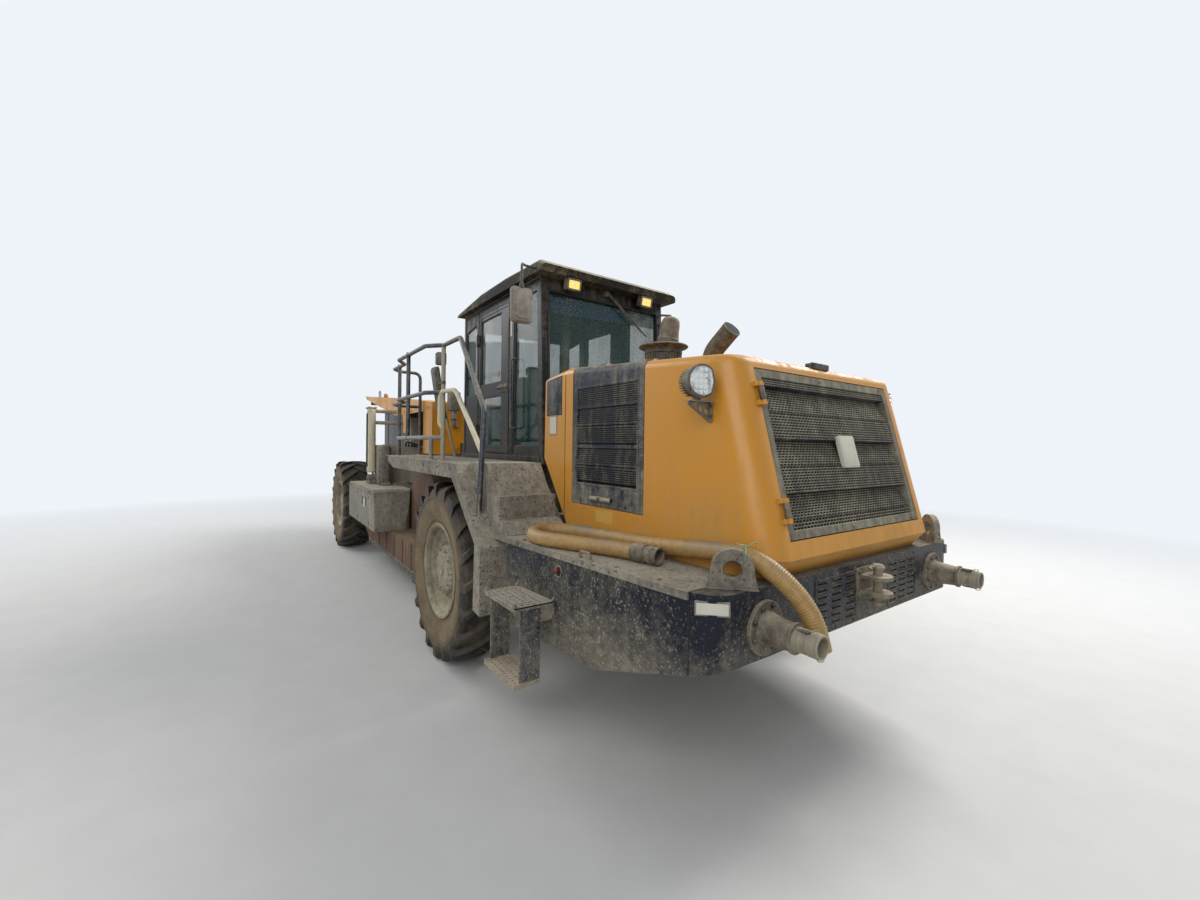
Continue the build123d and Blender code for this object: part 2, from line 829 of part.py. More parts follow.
# Platforms with fender slope, front plate, outer lip and stairs
lip_outline = [
    (platform_rear_x, platform_z),
    (platform_break_x, platform_z),
    (fender_knee_x, fender_knee_z),
    (fender_front_x, fender_knee_z - 40),
    (fender_front_x, fender_bottom_z),
    (fender_front_x - lip_depth - 30, fender_bottom_z + 14),
    (arch_knee_x, arch_knee_z),
    (platform_break_x - 76, platform_z - lip_depth - 20),
    (platform_rear_x + 250, platform_z - lip_depth - 20),
    (platform_rear_x, platform_z - lip_depth / 2),
]
skin_outline = [
    (platform_rear_x, platform_z),
    (platform_break_x, platform_z),
    (fender_knee_x, fender_knee_z),
    (fender_front_x, fender_knee_z - 40),
    (fender_front_x, fender_bottom_z),
    (fender_front_x - plate, fender_bottom_z),
    (fender_front_x - plate, fender_knee_z - 46),
    (fender_knee_x - 8, fender_knee_z - 9),
    (platform_break_x - 6, platform_z - plate),
    (platform_rear_x, platform_z - plate),
]
stair_outline = [
    (platform_break_x + 10, platform_z + 12),
    (platform_break_x + 330, platform_z + 12),
    (2600, 1515),
    (2685, 1515),
    (2685, 1345),
    (2745, 1345),
    (2860, deck_z + 2),
    (frame_front_x - 2, deck_z - 60),
    (fender_front_x, deck_z - 60),
    (fender_knee_x, fender_knee_z),
    (platform_break_x, platform_z),
]
with BuildPart() as platforms:
    add(side_plate(lip_outline, -platform_outer_y, -platform_outer_y + plate))
    add(side_plate(skin_outline, -platform_outer_y, -platform_inner_y))
    add(side_plate(stair_outline, -stair_outer_y, -stair_inner_y))
    add(
        block(
            (strip_rear_x, platform_rear_x),
            (-strip_outer_y, -platform_inner_y),
            (platform_z - plate, platform_z),
        )
    )
    mirror(about=Plane.XZ)
save(platforms, "platforms")

# Ladders: two treads on side plates that stand on the bumper's tapered side
tread_x = (3030, 3450)
tread_outer_y = 1600
ladder_plate = 12
side_taper = (bumper_rear_half - bumper_seam_half) / (bumper_seam_x - frame_front_x)


def bumper_side_y(x):
    return bumper_rear_half - (x - frame_front_x) * side_taper


def ladder_plate_between(x_range, z_range):
    # Flat piece that reaches in to the bumper's side
    rear, front = x_range
    with BuildPart(mode=Mode.PRIVATE) as piece:
        with BuildSketch(Plane.XY.offset(z_range[0])):
            with BuildLine():
                Polyline(
                    (rear, -tread_outer_y),
                    (front, -tread_outer_y),
                    (front, -bumper_side_y(front)),
                    (rear, -bumper_side_y(rear)),
                    close=True,
                )
            make_face()
        extrude(amount=z_range[1] - z_range[0])
    return piece.part


with BuildPart() as ladders:
    add(ladder_plate_between(tread_x, (940, 965)))
    add(block(tread_x, (-tread_outer_y, -1420), (500, 525)))
    for x in (tread_x[0], tread_x[1] - ladder_plate):
        add(ladder_plate_between((x, x + ladder_plate), (860, 990)))
        add(block((x, x + ladder_plate), (-1560, -1430), (500, 960)))
    mirror(about=Plane.XZ)
save(ladders, "ladders")

# Handrails: a top and a middle bar with the same plan, a low bar, posts and a loop at the stairs
rail_top_z = 2840
rail_mid_z = 2387
rail_low_z = 1950
front_post = (1250, -1300)
side_y = -1430
inner_y = -1300
rear_post = (-420, inner_y)
end_post = (-860, -930)
side_post = (490, side_y)
short_post = (1150, -1383)
rail_plan = [
    front_post,
    (1200, -1345),
    (1089, side_y),
    (76, side_y),
    (-190, inner_y),
    (-700, inner_y),
    (end_post[0], -1180),
    end_post,
]
fender_slope = (platform_z - fender_knee_z) / (fender_knee_x - platform_break_x)
foot_x = 2450
foot_lift = 1.1
foot_z = platform_z - (foot_x - tube_radius - platform_break_x) * fender_slope + foot_lift
stair_foot = (foot_x, -1410, foot_z)
stair_knee = (2420, -1365, 2160)
loop_top_z = 2395


def level(plan_points, z):
    return [(x, y, z) for x, y in plan_points]


rail_routes = [
    [stair_foot, stair_knee, (1694, -1295, rail_top_z)]
    + level(rail_plan, rail_top_z)
    + [(*end_post, platform_z)],
    level(rail_plan, rail_mid_z),
    level(rail_plan[:5] + [rear_post], rail_low_z),
    [(*front_post, platform_z), (*front_post, rail_top_z)],
    [(*rear_post, platform_z), (*rear_post, rail_top_z)],
    [(*side_post, rail_low_z), (*side_post, rail_top_z)],
    [(*short_post, platform_z), (*short_post, rail_low_z)],
    [
        (1250, -1300, 2050),
        (1205, -1318, 2080),
        (1205, -1318, loop_top_z - 50),
        (1260, -1312, loop_top_z),
        (1540, -1292, loop_top_z - 10),
        (1620, -1296, loop_top_z - 45),
        (2432, -1384, 1830),
    ],
]
with BuildPart() as handrails:
    add([bar(route, tube_radius) for route in rail_routes])
    mirror(about=Plane.XZ)
save(handrails, "handrails")

# Mirrors: one on an arm at the right of the roof, one on a loop at the left pillar, two on the rails
mirror_thickness = 50
arm_radius = 12
arm_gap = 0.9
right_mirror_x = roof_front_x + 25
right_mirror_y = -roof_half - 187
right_mirror_z = (cab_top_z - 495, cab_top_z - 200)
left_mirror_x = cab_front_top_x + 95
left_mirror_y = cab_half + 48
left_mirror_z = (cab_top_z - 445, cab_top_z - 202)
left_loop_z = (cab_top_z - 220, cab_top_z - 130)
rail_mirror_at = (1080, 1295, 2390)
rail_mirror_lean = 9
rail_arm_rise = 90
seat_gap = 0.3


def mirror_case(width, height, turn):
    # Flat case with round corners, upright, its face along X
    with BuildPart(mode=Mode.PRIVATE) as case:
        with BuildSketch(Plane.YZ.offset(-mirror_thickness / 2)):
            RectangleRounded(width, height, 28)
        extrude(amount=mirror_thickness)
    return Rot(*turn) * case.part


def centred(limits):
    return sum(limits) / 2, limits[1] - limits[0]


with BuildPart() as mirrors:
    z, height = centred(right_mirror_z)
    add(Pos(right_mirror_x, right_mirror_y, z) * mirror_case(192, height, (0, 0, 0)))
    add(
        bar(
            [
                (right_mirror_x - 115, -roof_half, cab_top_z + 35),
                (right_mirror_x - 115, right_mirror_y + 90, cab_top_z + 35),
                (right_mirror_x, right_mirror_y, cab_top_z),
                (right_mirror_x, right_mirror_y, right_mirror_z[1] - 5),
            ],
            arm_radius,
        )
    )
    z, height = centred(left_mirror_z)
    add(Pos(left_mirror_x, left_mirror_y, z) * mirror_case(244, height, (0, 0, 0)))
    add(
        bar(
            [
                (cab_front_at(left_loop_z[1]) + arm_gap, cab_half - 30, left_loop_z[1]),
                (left_mirror_x - 45, cab_half - 30, left_loop_z[1]),
                (left_mirror_x, left_mirror_y, left_loop_z[1]),
                (left_mirror_x, left_mirror_y, left_loop_z[0]),
                (left_mirror_x - 45, cab_half - 30, left_loop_z[0]),
                (cab_front_at(left_loop_z[0]) + arm_gap, cab_half - 30, left_loop_z[0]),
            ],
            arm_radius,
        )
    )
    x, y, z = rail_mirror_at
    arm_y = y + rail_arm_rise * tan(radians(rail_mirror_lean))
    arm_end_x = front_post[0] - tube_radius - seat_gap
    for side in (-1, 1):
        add(Pos(x, side * y, z) * mirror_case(170, 520, (-side * rail_mirror_lean, 0, 90)))
        arm = [(x, side * arm_y, z + rail_arm_rise), (arm_end_x, side * arm_y, z + rail_arm_rise)]
        add(bar(arm, arm_radius))
save(mirrors, "mirrors")

lamp_x = 4205
lamp_z = 2270
lamp_radius = 92
lamp_front_x = lamp_x + 85
lamp_depth = 100
lamp_y = -hood_half - 105
fin_count = 5
fin_pitch = 26
bracket_x = (lamp_x - 30, lamp_x - 10)
with BuildPart(mode=Mode.PRIVATE) as head_lamp:
    with BuildSketch(Plane.YZ.offset(lamp_front_x)):
        with Locations((lamp_y, lamp_z)):
            RegularPolygon(lamp_radius, 16)
        with Locations((lamp_y + lamp_radius + 60, lamp_z)):
            Rectangle(160, 3 * lamp_radius, mode=Mode.SUBTRACT)
    extrude(amount=-lamp_depth)
    for row in range(fin_count):
        z = lamp_z + (row - (fin_count - 1) / 2) * fin_pitch
        fin_x = (lamp_front_x - lamp_depth - 45, lamp_front_x - lamp_depth)
        add(block(fin_x, (lamp_y - 60, lamp_y + 50), (z - 6, z + 6)))
    with BuildSketch(Plane.YZ.offset(bracket_x[0])):
        with BuildLine():
            Polyline(
                (-hood_half, lamp_z - 60),
                (lamp_y - 55, lamp_z - 60),
                (lamp_y - 55, lamp_z - 100),
                (-hood_half, lamp_z - 250),
                close=True,
            )
        make_face()
        with Locations((-hood_half - 40, lamp_z - 180), (-hood_half - 70, lamp_z - 125)):
            RegularPolygon(16, 8, mode=Mode.SUBTRACT)
    extrude(amount=bracket_x[1] - bracket_x[0])
work_lamp = block((roof_front_x - 60, roof_front_x), (-520, -370), (cab_top_z - 110, cab_top_z))
with BuildPart() as lamps:
    add(both_sides(head_lamp.part))
    add(both_sides(work_lamp))
save(lamps, "lamps")

exhaust_foot_z = hood_top_z(exhaust_x) - 40
exhaust_route = [
    (exhaust_x, 150, exhaust_foot_z),
    (exhaust_x, 150, exhaust_foot_z + 230),
    (exhaust_x + 200, 150, exhaust_foot_z + 390),
]
with BuildPart() as exhaust_pipe:
    with BuildLine() as exhaust_path:
        FilletPolyline(*exhaust_route, radius=110)
    with BuildSketch(Plane(origin=exhaust_route[0])):
        RegularPolygon(exhaust_radius, 16)
    sweep(path=exhaust_path.line)
    add(hood_outer, mode=Mode.SUBTRACT)
save(exhaust_pipe, "exhaust_pipe")
with BuildPart() as air_cleaner:
    cleaner_steps = [
        (hood_peak_z - 40, cleaner_neck_radius),
        (cleaner_neck_top_z, cleaner_neck_radius),
        (cleaner_neck_top_z, cleaner_cap_radius - 35),
        (cleaner_neck_top_z + 25, cleaner_cap_radius),
        (cleaner_cap_top_z - 25, cleaner_cap_radius),
        (cleaner_cap_top_z, cleaner_cap_radius - 50),
    ]
    add(turned(Plane(origin=(cleaner_x, 0, 0)), cleaner_steps, 24))
    add(hood_outer, mode=Mode.SUBTRACT)
save(air_cleaner, "air_cleaner")

# Side pods
pod_outline = [
    (pod_rear_x, pod_bottom_z),
    (pod_front_x, pod_bottom_z),
    (pod_front_x, pod_bottom_z + 90),
    (pod_front_x - 60, pod_top_z - 30),
    (pod_front_x - 90, pod_top_z),
    (pod_rear_x + 60, pod_top_z),
    (pod_rear_x, pod_top_z - 80),
]
with BuildPart() as side_pods:
    add(side_plate(pod_outline, -pod_outer_y, -pod_inner_y))
    fillet(side_pods.edges().filter_by(Axis.Z).group_by(Axis.X)[-1].sort_by(Axis.Y)[-1:], 120)
    for x in (mast_x - 60, mast_x + 60):
        add(block((x - 12, x + 12), (-mast_y - 50, -mast_y + 50), (pod_top_z, pod_top_z + 150)))
    mirror(about=Plane.XZ)
save(side_pods, "side_pods")

# Drum housing: wide skirts under a chamber roof, and a narrower arched hood over the drum
skirt_outline = [
    (housing_front_x, housing_bottom_z),
    (housing_front_x, chamber_roof_z),
    (housing_rear_x, chamber_roof_z),
    (housing_rear_x, 480),
    (-2420, housing_bottom_z),
]
arch = [
    (housing_front_x, chamber_roof_z - housing_skin),
    (housing_front_x, 900),
    (drum_x + 560, 1290),
    (drum_x + 300, 1560),
    (drum_x - 300, 1560),
    (drum_x - 560, 1290),
    (chamber_front_x, 1150),
    (chamber_front_x, chamber_roof_z - housing_skin),
]
arch_inside = [
    (housing_front_x - housing_skin, 0),
    (housing_front_x - housing_skin, 890),
    (drum_x + 545, 1275),
    (drum_x + 290, 1540),
    (drum_x - 290, 1540),
    (drum_x - 545, 1275),
    (chamber_front_x + housing_skin, 1135),
    (chamber_front_x + housing_skin, 0),
]
outer_half = housing_inner_half + housing_plate
hood_outer_half = hood_inner_half + housing_plate
with BuildPart() as drum_housing:
    add(both_sides(side_plate(skirt_outline, -outer_half, -housing_inner_half)))
    roof_z = (chamber_roof_z - housing_skin, chamber_roof_z)
    add(block((housing_rear_x, housing_front_x), (-outer_half, outer_half), roof_z))
    add(side_plate(arch, -hood_outer_half, hood_outer_half))
    add(side_plate(arch_inside, -hood_inner_half, hood_inner_half), mode=Mode.SUBTRACT)
    shaft_bore = Rot(0, 0, 180 / pin_sides) * prism(around(drum_shaft_radius), 3000)
    add(Pos(drum_x, 0, drum_z) * Rot(90, 0, 0) * shaft_bore, mode=Mode.SUBTRACT)
save(drum_housing, "drum_housing")

# Milling drum with tool holders on a spiral
tool_rows = 13
tools_per_row = 4
drum_sides = 24
tool_blocks = []
for row in range(tool_rows):
    y = (row - (tool_rows - 1) / 2) * (2 * drum_half - 90) / (tool_rows - 1)
    for copy in range(tools_per_row):
        turn = copy * 360 / tools_per_row + abs(row - (tool_rows - 1) / 2) * 24
        place = Pos(drum_x, y, drum_z) * Rot(0, turn, 0)
        low, high = drum_shell_radius - 20, drum_tip_radius
        tool_blocks.append(place * Pos(0, 0, (low + high) / 2) * Box(60, 44, high - low))
with BuildPart() as milling_drum:
    across = Pos(drum_x, 0, drum_z) * Rot(90, 0, 0)
    add(across * prism(drum_shell_radius, 2 * drum_half, drum_sides))
    add(across * prism(drum_shaft_radius, 2 * hood_outer_half))
    add(tool_blocks)
save(milling_drum, "milling_drum")

# Chamber flaps
front_flap_z = chamber_roof_z - housing_skin
rear_flap_z = chamber_roof_z - housing_skin
flap_hinge_y = (-700, 700)
front_flap_place = [
    Plane(
        origin=(housing_front_x + hinge_height, y, front_flap_z - door_gap / 2),
        x_dir=(0, 0, -1),
        z_dir=(0, 1, 0),
    )
    for y in flap_hinge_y
]
rear_flap_place = [
    Plane(
        origin=(housing_rear_x - hinge_height, y, rear_flap_z - door_gap / 2),
        x_dir=(0, 0, -1),
        z_dir=(0, -1, 0),
    )
    for y in flap_hinge_y
]
with BuildPart() as front_flap:
    add(
        block(
            (housing_front_x - flap_thickness, housing_front_x),
            (-housing_inner_half + door_gap, housing_inner_half - door_gap),
            (housing_bottom_z + 10, front_flap_z - door_gap),
        )
    )
    for place in front_flap_place:
        add(hinge_moving(place))
save(front_flap, "front_flap")
with BuildPart() as rear_flap:
    add(
        block(
            (housing_rear_x, housing_rear_x + flap_thickness),
            (-housing_inner_half + door_gap, housing_inner_half - door_gap),
            (400, rear_flap_z - door_gap),
        )
    )
    for place in rear_flap_place:
        add(hinge_moving(place))
save(rear_flap, "rear_flap")
with BuildPart() as flap_hinges:
    for place in front_flap_place + rear_flap_place:
        add(hinge_fixed(place))
save(flap_hinges, "flap_hinges")

# Lift cylinders on the mast columns, their rods on the pods
with BuildPart() as lift_cylinders:
    for x, radius in ((mast_x, barrel_radius), (mast_x - guide_offset, 48)):
        with BuildSketch(Plane.XY.offset(barrel_bottom_z)):
            with Locations((x, -mast_y)):
                RegularPolygon(radius, pin_sides)
                RegularPolygon(around(rod_radius), pin_sides, mode=Mode.SUBTRACT)
        extrude(amount=barrel_top_z - barrel_bottom_z)
    with BuildSketch(Plane.XY.offset(barrel_top_z)):
        with Locations((mast_x - guide_offset / 2, -mast_y)):
            RectangleRounded(guide_offset + 130, 130, 30)
    extrude(amount=20)
    mirror(about=Plane.XZ)
save(lift_cylinders, "lift_cylinders")
with BuildPart() as lift_rods:
    for x in (mast_x, mast_x - guide_offset):
        with BuildSketch(Plane.XY.offset(pod_top_z)):
            with Locations((x, -mast_y)):
                RegularPolygon(rod_radius, pin_sides)
        extrude(amount=barrel_top_z - 60 - pod_top_z)
    mirror(about=Plane.XZ)
save(lift_rods, "lift_rods")

# Axles with yokes, knuckles, rims and tyres
tyre_centre_y = tyre_outer_y - tyre_width / 2
yoke_outer = yoke_half_gap + yoke_thickness


differential_steps = [
    (-differential_radius, 90),
    (-differential_radius * 0.7, differential_radius * 0.8),
    (-differential_radius * 0.35, differential_radius),
    (differential_radius * 0.35, differential_radius),
    (differential_radius * 0.7, differential_radius * 0.8),
    (differential_radius, 90),
]


def axle(x):
    # Beam axle: tube, differential, saddles up to the rails and a yoke at each end
    with BuildPart(mode=Mode.PRIVATE) as beam:
        middle = Plane(origin=(x, 0, tyre_radius), x_dir=(1, 0, 0), z_dir=(0, 1, 0))
        add(middle.location * prism(axle_tube_radius, 1740, 12))
        add(turned(middle, differential_steps, 12))
        pad = block(
            (x - 130, x + 130),
            (-rail_outer_y, -rail_inner_y),
            (tyre_radius, rail_bottom_z),
        )
        add(both_sides(pad))
        web = block(
            (x - 90, x + 90),
            (-kingpin_y + 110, -kingpin_y + 170),
            (tyre_radius - yoke_outer, tyre_radius + yoke_outer),
        )
        ear = block(
            (x - yoke_radius, x + yoke_radius),
            (-kingpin_y, -kingpin_y + 120),
            (tyre_radius + yoke_half_gap, tyre_radius + yoke_outer),
        )
        round_end = prism(yoke_radius, yoke_thickness)
        ear = ear + Pos(x, -kingpin_y, tyre_radius + yoke_half_gap + yoke_thickness / 2) * round_end
        low = Pos(0, 0, -2 * yoke_half_gap - yoke_thickness) * ear
        add(both_sides(web + ear + low))
        pin_bore = prism(around(kingpin_radius), 2 * yoke_outer + 10)
        for y in (-kingpin_y, kingpin_y):
            add(Pos(x, y, tyre_radius) * pin_bore, mode=Mode.SUBTRACT)
    return beam.part


with BuildPart() as axles:
    add([axle(front_axle_x), axle(rear_axle_x)])
save(axles, "axles")


def knuckle(x, side):
    # Steering knuckle: kingpin, body, flange and spindle
    across = Plane(origin=(x, 0, tyre_radius), x_dir=(1, 0, 0), z_dir=(0, side, 0))
    body_steps = [
        (kingpin_y, knuckle_radius),
        (kingpin_y + 100, knuckle_radius),
        (kingpin_y + 100, 150),
        (knuckle_flange_y, 150),
        (knuckle_flange_y, spindle_radius),
        (spindle_end_y, spindle_radius),
    ]
    with BuildPart(mode=Mode.PRIVATE) as body:
        centre = Pos(x, side * kingpin_y, tyre_radius)
        add(centre * prism(80, 2 * (yoke_half_gap - 5)))
        add(centre * prism(kingpin_radius, 2 * yoke_outer))
        add(turned(across, body_steps, pin_sides))
    return body.part


half_rim = rim_width / 2
# Steps of a wheel along its axis, from the machine's middle outwards: (offset, radius)
rim_outside = [
    (-half_rim, rim_flange_radius),
    (-half_rim + rim_wall, rim_flange_radius),
    (-half_rim + rim_wall, rim_seat_radius),
    (half_rim - rim_wall, rim_seat_radius),
    (half_rim - rim_wall, rim_flange_radius),
    (half_rim, rim_flange_radius),
]
rim_dish = [
    (rim_disc_offset + rim_disc_thickness, rim_seat_radius - 45),
    (half_rim - 60, rim_seat_radius - 30),
    (half_rim, rim_seat_radius - rim_wall),
]
rim_back = [
    (-half_rim, rim_seat_radius - 20),
    (rim_disc_offset, rim_seat_radius - 45),
]
hub_nose = hub_nose_y - tyre_centre_y
hub_front = [
    (rim_disc_offset + rim_disc_thickness, 230),
    (rim_disc_offset + 60, hub_radius),
    (hub_nose - 20, hub_radius - 15),
    (hub_nose, hub_radius - 45),
]
hub_back = knuckle_flange_y - tyre_centre_y + 10
hub_rear = [(hub_back, 165), (rim_disc_offset, 210)]
hub_bore_end = spindle_end_y - tyre_centre_y + 1
tread_half = tyre_width / 2
carcass_radius = tyre_radius - tread_lug_height
carcass = [
    (-tread_half, 600),
    (-tread_half + 12, carcass_radius - 22),
    (tread_half - 12, carcass_radius - 22),
    (tread_half, 600),
]
sidewall = [
    (half_rim - rim_wall - 1, rim_flange_radius + 4),
    (tread_half - 12, rim_flange_radius + 70),
    (tread_half, 600),
]
lug_slant = 24
lug_width = 62
lug_inner_end = -20
# Side view of a lug: distance along it from the tread's middle, and radius
lug_profile = [
    (lug_inner_end, carcass_radius - 45),
    (lug_inner_end, tyre_radius),
    (lug_inner_end + 184, tyre_radius - 7),
    (tread_half + 8, tyre_radius - 63),
    (tread_half + 6, tyre_radius - 135),
    (tread_half - 34, tyre_radius - 135),
]
wheel_axis = Plane(origin=(0, 0, 0), x_dir=(1, 0, 0), z_dir=(0, 1, 0))


def flipped(steps):
    # The same steps seen from the other end of the axis
    return [(-offset, radius) for offset, radius in reversed(steps)]


def lug_row():
    # Slanted bars round one half of the tread
    with BuildPart(mode=Mode.PRIVATE) as lug:
        with BuildSketch(Plane.YZ.offset(-lug_width / 2)):
            with BuildLine():
                Polyline(*lug_profile, close=True)
            make_face()
        extrude(amount=lug_width)
    return [
        Rot(0, index * 360 / lug_count, 0) * Rot(0, 0, lug_slant) * lug.part
        for index in range(lug_count)
    ]


with BuildPart() as rim_form:
    add(turned(wheel_axis, rim_outside, wheel_sides))
    add(turned(wheel_axis, rim_dish, wheel_sides), mode=Mode.SUBTRACT)
    add(turned(wheel_axis, rim_back, wheel_sides), mode=Mode.SUBTRACT)
    add(turned(wheel_axis, hub_front, pin_sides))
    add(turned(wheel_axis, hub_rear, pin_sides))
    bore = [(hub_back, around(spindle_radius)), (hub_bore_end, around(spindle_radius))]
    half_side = Rot(0, 180 / pin_sides, 0)
    add(half_side * turned(wheel_axis, bore, pin_sides), mode=Mode.SUBTRACT)
with BuildPart() as tyre_form:
    add(turned(wheel_axis, carcass, tread_sides))
    half_pitch = Rot(0, 180 / lug_count, 0)
    for lug in lug_row():
        add(lug)
        add(half_pitch * mirror(lug, about=Plane.XZ, mode=Mode.PRIVATE))
    seat_bore = [
        (-half_rim + rim_wall + 1, rim_seat_radius + 0.3),
        (half_rim - rim_wall - 1, rim_seat_radius + 0.3),
    ]
    for steps in (seat_bore, sidewall, flipped(sidewall)):
        add(turned(wheel_axis, steps, wheel_sides), mode=Mode.SUBTRACT)
wheels = (
    (front_axle_x, -1, "front_right"),
    (front_axle_x, 1, "front_left"),
    (rear_axle_x, -1, "rear_right"),
    (rear_axle_x, 1, "rear_left"),
)
for x, side, place in wheels:
    with BuildPart() as knuckle_part:
        add(knuckle(x, side))
    save(knuckle_part, f"knuckle_{place}")
    turn = Rot(0, 0, 0) if side > 0 else Rot(0, 0, 180)
    seat = Pos(x, side * tyre_centre_y, tyre_radius) * turn
    with BuildPart() as rim:
        add(seat * rim_form.part)
    save(rim, f"rim_{place}")
    with BuildPart() as tyre:
        add(seat * tyre_form.part)
    save(tyre, f"tyre_{place}")

# Tail cover: shell with skirts, its front box and two short struts
cover_outline = [
    (cover_front_x, cover_box_z),
    (cover_front_x, 2430),
    (-2320, 2616),
    (cover_rear_x, 2823),
    (cover_rear_x + 60, 2760),
    (-2310, 2330),
    (-1900, 2330),
    (-1860, 2050),
    (-1740, 2050),
    (-1660, 2330),
    (-820, 2330),
    (-820, cover_box_z),
]
cover_core = [
    (cover_front_x - cover_wall, cover_box_z - 60),
    (cover_front_x - cover_wall, 2405),
    (-2320, 2591),
    (cover_rear_x + 60, 2793),
    (cover_rear_x + 60, 2600),
    (-2310, 1800),
]
with BuildPart() as tail_cover:
    add(side_plate(cover_outline, -cover_half, cover_half))
    core = side_plate(cover_core, -cover_half + cover_wall, cover_half - cover_wall)
    add(core, mode=Mode.SUBTRACT)
    over_rails = block(
        (cover_front_x - 60, cover_front_x + 60),
        (-rail_outer_y - 20, rail_outer_y + 20),
        (cover_box_z - 60, arch_top_z + 5),
    )
    add(over_rails, mode=Mode.SUBTRACT)
save(tail_cover, "tail_cover")

# Tanks under the tail cover, which rests on their tops
def cover_inner_z(x):
    # Height of the cover's inside along its sloping top
    (x_low, z_low), (x_high, z_high) = cover_core[1:3] if x > cover_core[2][0] else cover_core[2:4]
    return z_low + (x - x_low) * (z_high - z_low) / (x_high - x_low)


# Rear end, front end, bottom and half width of each tank
tank_places = (
    (cover_front_x - 1180, cover_front_x - 60, arch_top_z, 620),
    (cover_rear_x + 230, mast_x - 370, deck_z, 600),
)
with BuildPart() as tanks:
    for rear, front, bottom, half in tank_places:
        tank = [
            (rear, bottom),
            (front, bottom),
            (front, cover_inner_z(front)),
            (rear, cover_inner_z(rear)),
        ]
        add(side_plate(tank, -half, half))
    fillet(tanks.edges().filter_by(Axis.Z), 50)
save(tanks, "tanks")

# Tail frame: cross plate and rear hitch with open ears
hitch_bore = 28
with BuildPart() as tail_frame:
    add(block((frame_rear_x - 60, frame_rear_x), (-650, 650), (960, 1400)))
    for z in (1060, 1180):
        with BuildSketch(Plane.XY.offset(z)):
            with Locations(((frame_rear_x - 60 + rear_tip_x + 80) / 2, 0)):
                Rectangle(frame_rear_x - 60 - rear_tip_x - 80, 160)
            with Locations((rear_tip_x + 80, 0)):
                Circle(80)
            with Locations((rear_tip_x + 80, 0)):
                Circle(hitch_bore, mode=Mode.SUBTRACT)
        extrude(amount=30)
save(tail_frame, "tail_frame")

# Hose that lies on the front deck, one tube of straight runs and arcs
hose_radius = 46
coupling_radius = 52
hose_rest_z = deck_z + hose_radius + seat_gap
hose_route = [
    (3945, -1089, deck_z + coupling_radius + seat_gap),
    (3790, -1121, deck_z + coupling_radius + seat_gap),
    (3610, -1190, hose_rest_z),
    (3430, -1262, hose_rest_z),
    (3285, -1325, hose_rest_z),
    (3140, -1325, hose_rest_z),
    (3030, -1240, hose_rest_z),
    (3012, -1115, hose_rest_z),
    (3120, -1015, hose_rest_z),
    (3310, -967, hose_rest_z),
    (3560, -953, 1320),
    (3810, -948, 1330),
    (4060, -943, 1350),
    (4290, -939, 1376),
    (4460, -934, 1392),
    (4566, -914, 1376),
    (4660, -862, 1300),
    (4732, -815, 1208),
    (4782, -793, 1105),
    (4800, -786, 1010),
]
hose_radii = []
for before, here, after in zip(hose_route, hose_route[1:], hose_route[2:]):
    run_in = Vector(*here) - Vector(*before)
    run_out = Vector(*after) - Vector(*here)
    turn = radians(run_in.get_angle(run_out))
    hose_radii.append(0.45 * min(run_in.length, run_out.length) / tan(turn / 2))
print("hose radii", [round(r) for r in hose_radii])
with BuildPart() as hose:
    with BuildLine() as hose_path:
        FilletPolyline(*hose_route, radius=hose_radii)
    with BuildSketch(Plane(origin=hose_path.line @ 0, z_dir=hose_path.line % 0)):
        Circle(hose_radius)
    sweep(path=hose_path.line)
hose_length = sum(edge.length for edge in hose_path.edges())
tube_volume = pi * hose_radius**2 * hose_length
print("hose length", round(hose_length), "volumes", round(hose.part.volume), round(tube_volume))
save(hose, "hose")

# Coupling on the hose's near end
coupling_length = 120
coupling_axis = Vector(*hose_route[0]) - Vector(*hose_route[1])
with BuildPart() as hose_coupling:
    with BuildSketch(Plane(origin=hose_route[0], z_dir=coupling_axis)):
        Circle(coupling_radius)
        Circle(coupling_radius - 12, mode=Mode.SUBTRACT)
    extrude(amount=coupling_length)
    with BuildSketch(Plane(origin=hose_route[0], z_dir=coupling_axis)):
        Circle(coupling_radius)
    extrude(amount=20)
save(hose_coupling, "hose_coupling")

box = Compound(children=written).bounding_box()
print("box", [round(v) for v in (*box.min, *box.max)], "nodes", len(written))
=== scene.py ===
import bmesh
import bpy
import random
from math import atan2, cos, hypot, pi, radians, sin, sqrt, tan, tau
from mathutils import Matrix, Vector


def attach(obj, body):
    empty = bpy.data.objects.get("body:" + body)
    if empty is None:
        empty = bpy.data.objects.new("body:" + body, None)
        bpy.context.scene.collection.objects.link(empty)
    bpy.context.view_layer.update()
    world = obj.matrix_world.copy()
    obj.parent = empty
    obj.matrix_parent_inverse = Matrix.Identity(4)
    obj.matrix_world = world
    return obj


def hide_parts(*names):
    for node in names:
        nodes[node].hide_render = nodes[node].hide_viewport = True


# Looks of the wheeled road reclaimer, in metres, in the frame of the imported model.
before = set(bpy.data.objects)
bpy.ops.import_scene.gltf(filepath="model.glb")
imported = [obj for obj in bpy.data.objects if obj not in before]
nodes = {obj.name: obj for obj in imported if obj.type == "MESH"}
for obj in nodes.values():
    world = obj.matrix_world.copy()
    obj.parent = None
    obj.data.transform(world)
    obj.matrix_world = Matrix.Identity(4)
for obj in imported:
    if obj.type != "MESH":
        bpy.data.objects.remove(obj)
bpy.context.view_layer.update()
SIDES = (("right", -1), ("left", 1))


